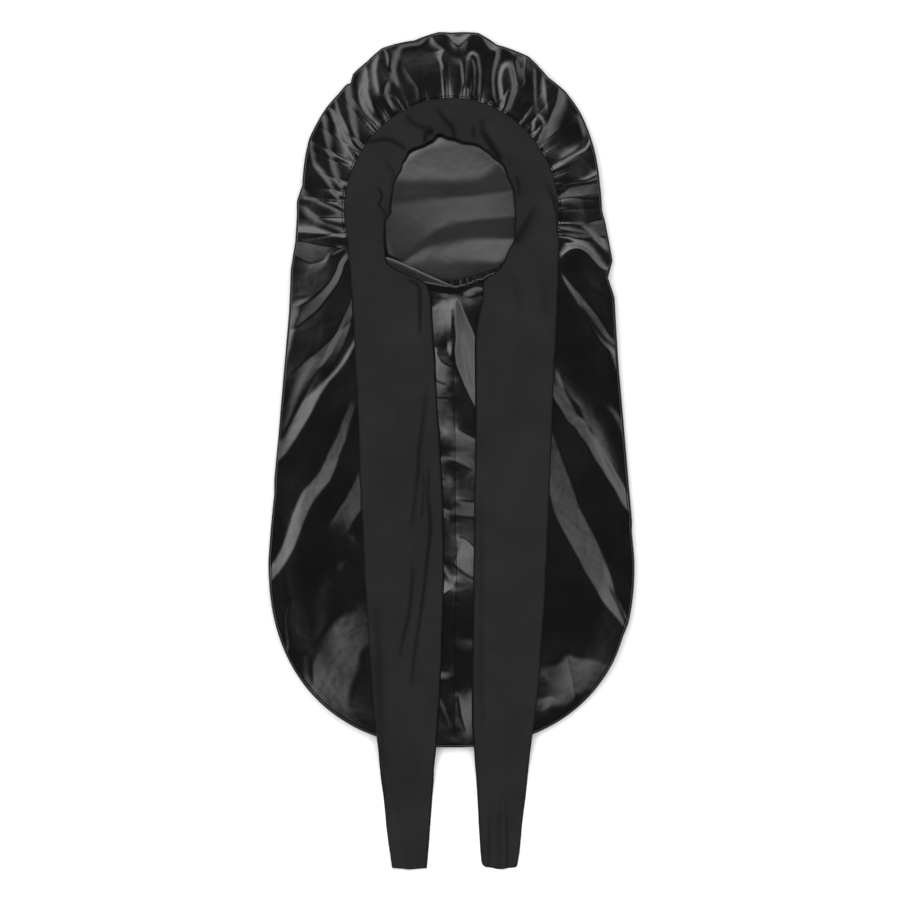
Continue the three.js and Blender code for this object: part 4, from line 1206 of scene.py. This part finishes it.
# Materials
def new_material(name, color, roughness, specular=0.5, sheen=0.0):
    """A material and its shader, with what is the same all over set on the shader itself."""
    material = bpy.data.materials.new(name)
    material.use_nodes = True
    shader = material.node_tree.nodes["Principled BSDF"]
    shader.inputs["Base Color"].default_value = (*color, 1)
    shader.inputs["Roughness"].default_value = roughness
    shader.inputs["Specular IOR Level"].default_value = specular
    shader.inputs["Sheen Weight"].default_value = sheen
    return material, shader


def add_node(owner, kind, settings=(), **inputs):
    """A node in the tree of a material or the world. An input is a number, a colour or another's output."""
    node = owner.node_tree.nodes.new(kind)
    for key, value in dict(settings).items():
        setattr(node, key, value)
    for key, value in inputs.items():
        socket = node.inputs[key.replace("_", " ")]
        if isinstance(value, bpy.types.NodeSocket):
            owner.node_tree.links.new(value, socket)
        else:
            socket.default_value = value
    return node


def noise(material, place, scale, detail, roughness=0.5):
    node = add_node(material, "ShaderNodeTexNoise", Vector=place, Scale=scale, Detail=detail,
                    Roughness=roughness)
    return node.outputs["Fac"]


def stripes(material, place, direction, scale, distortion=0.0, detail=2.0):
    settings = {"wave_type": "BANDS", "bands_direction": direction}
    node = add_node(material, "ShaderNodeTexWave", settings, Vector=place, Scale=scale, Distortion=distortion,
                    Detail=detail)
    return node.outputs["Fac"]


def object_place(material):
    return add_node(material, "ShaderNodeTexCoord").outputs["Object"]


def bumps(material, shader, layers):
    """Chain bumps of (height socket, millimetres, strength) into the shader's normal."""
    normal = None
    for height, distance, strength in layers:
        node = add_node(material, "ShaderNodeBump", Strength=strength, Distance=distance * MM, Height=height)
        if normal is not None:
            material.node_tree.links.new(normal, node.inputs["Normal"])
        normal = node.outputs["Normal"]
    material.node_tree.links.new(normal, shader.inputs["Normal"])


def mapped(material, low, high, factor):
    """A factor spread from low to high."""
    node = add_node(material, "ShaderNodeMapRange", {"clamp": True}, Value=factor, To_Min=low, To_Max=high)
    return node.outputs["Result"]


def satin(name, color, roughness, wrinkle, specular=0.5):
    """Smooth warp-faced cloth: fine threads, soft random wrinkles and an uneven gloss."""
    material, shader = new_material(name, color, roughness, specular)
    place = object_place(material)
    bumps(material, shader, [
        (noise(material, place, CRUMPLE_SCALE, 2.0, 0.45), CRUMPLE_HEIGHT, wrinkle),
        (noise(material, place, RIPPLE_SCALE, 3.0), RIPPLE_HEIGHT, wrinkle),
        (stripes(material, place, "DIAGONAL", THREADS_PER_METRE, 1.5, 1.0), THREAD_RELIEF, THREAD_STRENGTH),
    ])
    gloss = noise(material, place, GLOSS_SCALE, 3.0)
    rough = mapped(material, roughness + GLOSS_RANGE[0], roughness + GLOSS_RANGE[1], gloss)
    material.node_tree.links.new(rough, shader.inputs["Roughness"])
    return material


def jersey():
    """Matt stretch knit with fine ribs, fuzz and random darker patches, its colour darkened by painted shade
    down in its folds and painted shadow along its edges.
    """
    material, shader = new_material("jersey", JERSEY_COLOR, 0.85, 0.05, 0.01)
    links = material.node_tree.links
    place = object_place(material)
    shade = add_node(material, "ShaderNodeAttribute", {"attribute_name": "shade"})
    patchy = mapped(material, *JERSEY_PATCHES, noise(material, place, PATCH_SCALE, 3.0))
    product = add_node(material, "ShaderNodeMath", {"operation": "MULTIPLY"})
    links.new(shade.outputs["Fac"], product.inputs[0])
    links.new(patchy, product.inputs[1])
    # Painted shade: the shade attribute, times random patches, mixes the colour toward its darkest
    color = add_node(material, "ShaderNodeMix", {"data_type": "RGBA"}, Factor=product.outputs[0],
                     A=(*JERSEY_SHADE, 1), B=(*JERSEY_COLOR, 1))
    links.new(color.outputs["Result"], shader.inputs["Base Color"])
    bumps(material, shader, [
        (stripes(material, place, "X", RIBS_PER_METRE, 2.0), RIB_RELIEF, 0.5),
        (noise(material, place, FUZZ_SCALE, 2.0), FUZZ_HEIGHT, 0.5),
    ])
    return material


# Near-black matt thread: the stitches, and the painted shade strip under the nape roll
def thread_and_painted_shade():
    material, shader = new_material("thread_and_painted_shade", (0.0012, 0.0012, 0.0012), 0.9, 0.1)
    bumps(material, shader, [(stripes(material, object_place(material), "DIAGONAL", 1500), 0.05, 0.5)])
    return material


SATIN_FACE = satin("satin_face", (0.0015, 0.0015, 0.0016), 0.16, 0.5)
SATIN_EDGE = satin("satin_edge", (0.0015, 0.0015, 0.0016), 0.6, 0.2, 0.12)
SATIN_BACK = satin("satin_wrong_side", (0.0055, 0.0055, 0.0057), 0.24, 0.4)
ELASTIC = satin("nape_elastic", (0.004, 0.004, 0.0042), 0.22, 0.4)
THREAD_AND_PAINTED_SHADE = thread_and_painted_shade()


# Camera, light and floor
def set_camera():
    data = bpy.data.cameras.new("camera")
    data.sensor_width = SENSOR
    data.lens = SENSOR * CAMERA_HEIGHT / VIEW_WIDTH
    data.clip_end = CLIP_END
    camera = bpy.data.objects.new("camera", data)
    camera.location = (VIEW_X * MM, 0, (CAMERA_HEIGHT + VIEW_LEVEL) * MM)
    bpy.context.collection.objects.link(camera)
    bpy.context.scene.camera = camera


def set_floor():
    material, _ = new_material("floor", (0.8, 0.8, 0.8), 0.9, 0.2)
    corners = np.array([(-1, -1, 0), (1, -1, 0), (1, 1, 0), (-1, 1, 0)]) * FLOOR_HALF
    new_mesh("floor", corners, [(0, 1, 2, 3)], [material])


def brightness(world, value, stops):
    """The brightness that a ramp of (place, level) stops gives to a value."""
    ramp = add_node(world, "ShaderNodeValToRGB", Fac=value)
    elements = ramp.color_ramp.elements
    for index, (place, level) in enumerate(stops):
        element = elements[index] if index < 2 else elements.new(place)
        element.position = place
        element.color = (level, level, level, 1)
    return ramp.outputs["Color"]


def set_world():
    """A studio whose soft light comes in a collar round the dark middle of its ceiling."""
    world = bpy.data.worlds.new("studio")
    bpy.context.scene.world = world
    world.use_nodes = True
    place = add_node(world, "ShaderNodeTexCoord").outputs["Generated"]
    split = add_node(world, "ShaderNodeSeparateXYZ", Vector=place)
    toward = add_node(world, "ShaderNodeVectorMath", {"operation": "DOT_PRODUCT"}, Vector=place)
    toward.inputs[1].default_value = Vector(KEY_DIRECTION).normalized()
    light = add_node(world, "ShaderNodeMix", {"data_type": "RGBA", "blend_type": "MULTIPLY"}, Factor=1.0,
                     A=brightness(world, split.outputs["Z"], COLLAR_STOPS),
                     B=brightness(world, toward.outputs["Value"], KEY_STOPS))
    background = world.node_tree.nodes["Background"]
    world.node_tree.links.new(light.outputs["Result"], background.inputs["Color"])
    background.inputs["Strength"].default_value = 1


bpy.context.scene.view_settings.view_transform = "Standard"
set_camera()
set_world()
set_floor()

front = sheet_front("satin_front", [SATIN_FACE, SATIN_EDGE])
back = closed_patch("satin_back", back_rings(), SATIN, [SATIN_BACK, SATIN_FACE])
roll = nape_roll("nape_elastic_roll", [front])
band = knit_strip("knit_tie_band", [front, roll])
stitching = sew("seam_stitches", seam_lines(), [front])

for piece, node, finish in (
    (front, "satin_bag", "satin"),
    (back, "satin_bag", "satin"),
    (stitching, "satin_bag", "satin"),
    (band, "tie_band", "stretch_knit"),
    (roll, "nape_casing", "nape_elastic"),
):
    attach(piece, BODY)
    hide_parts(node)
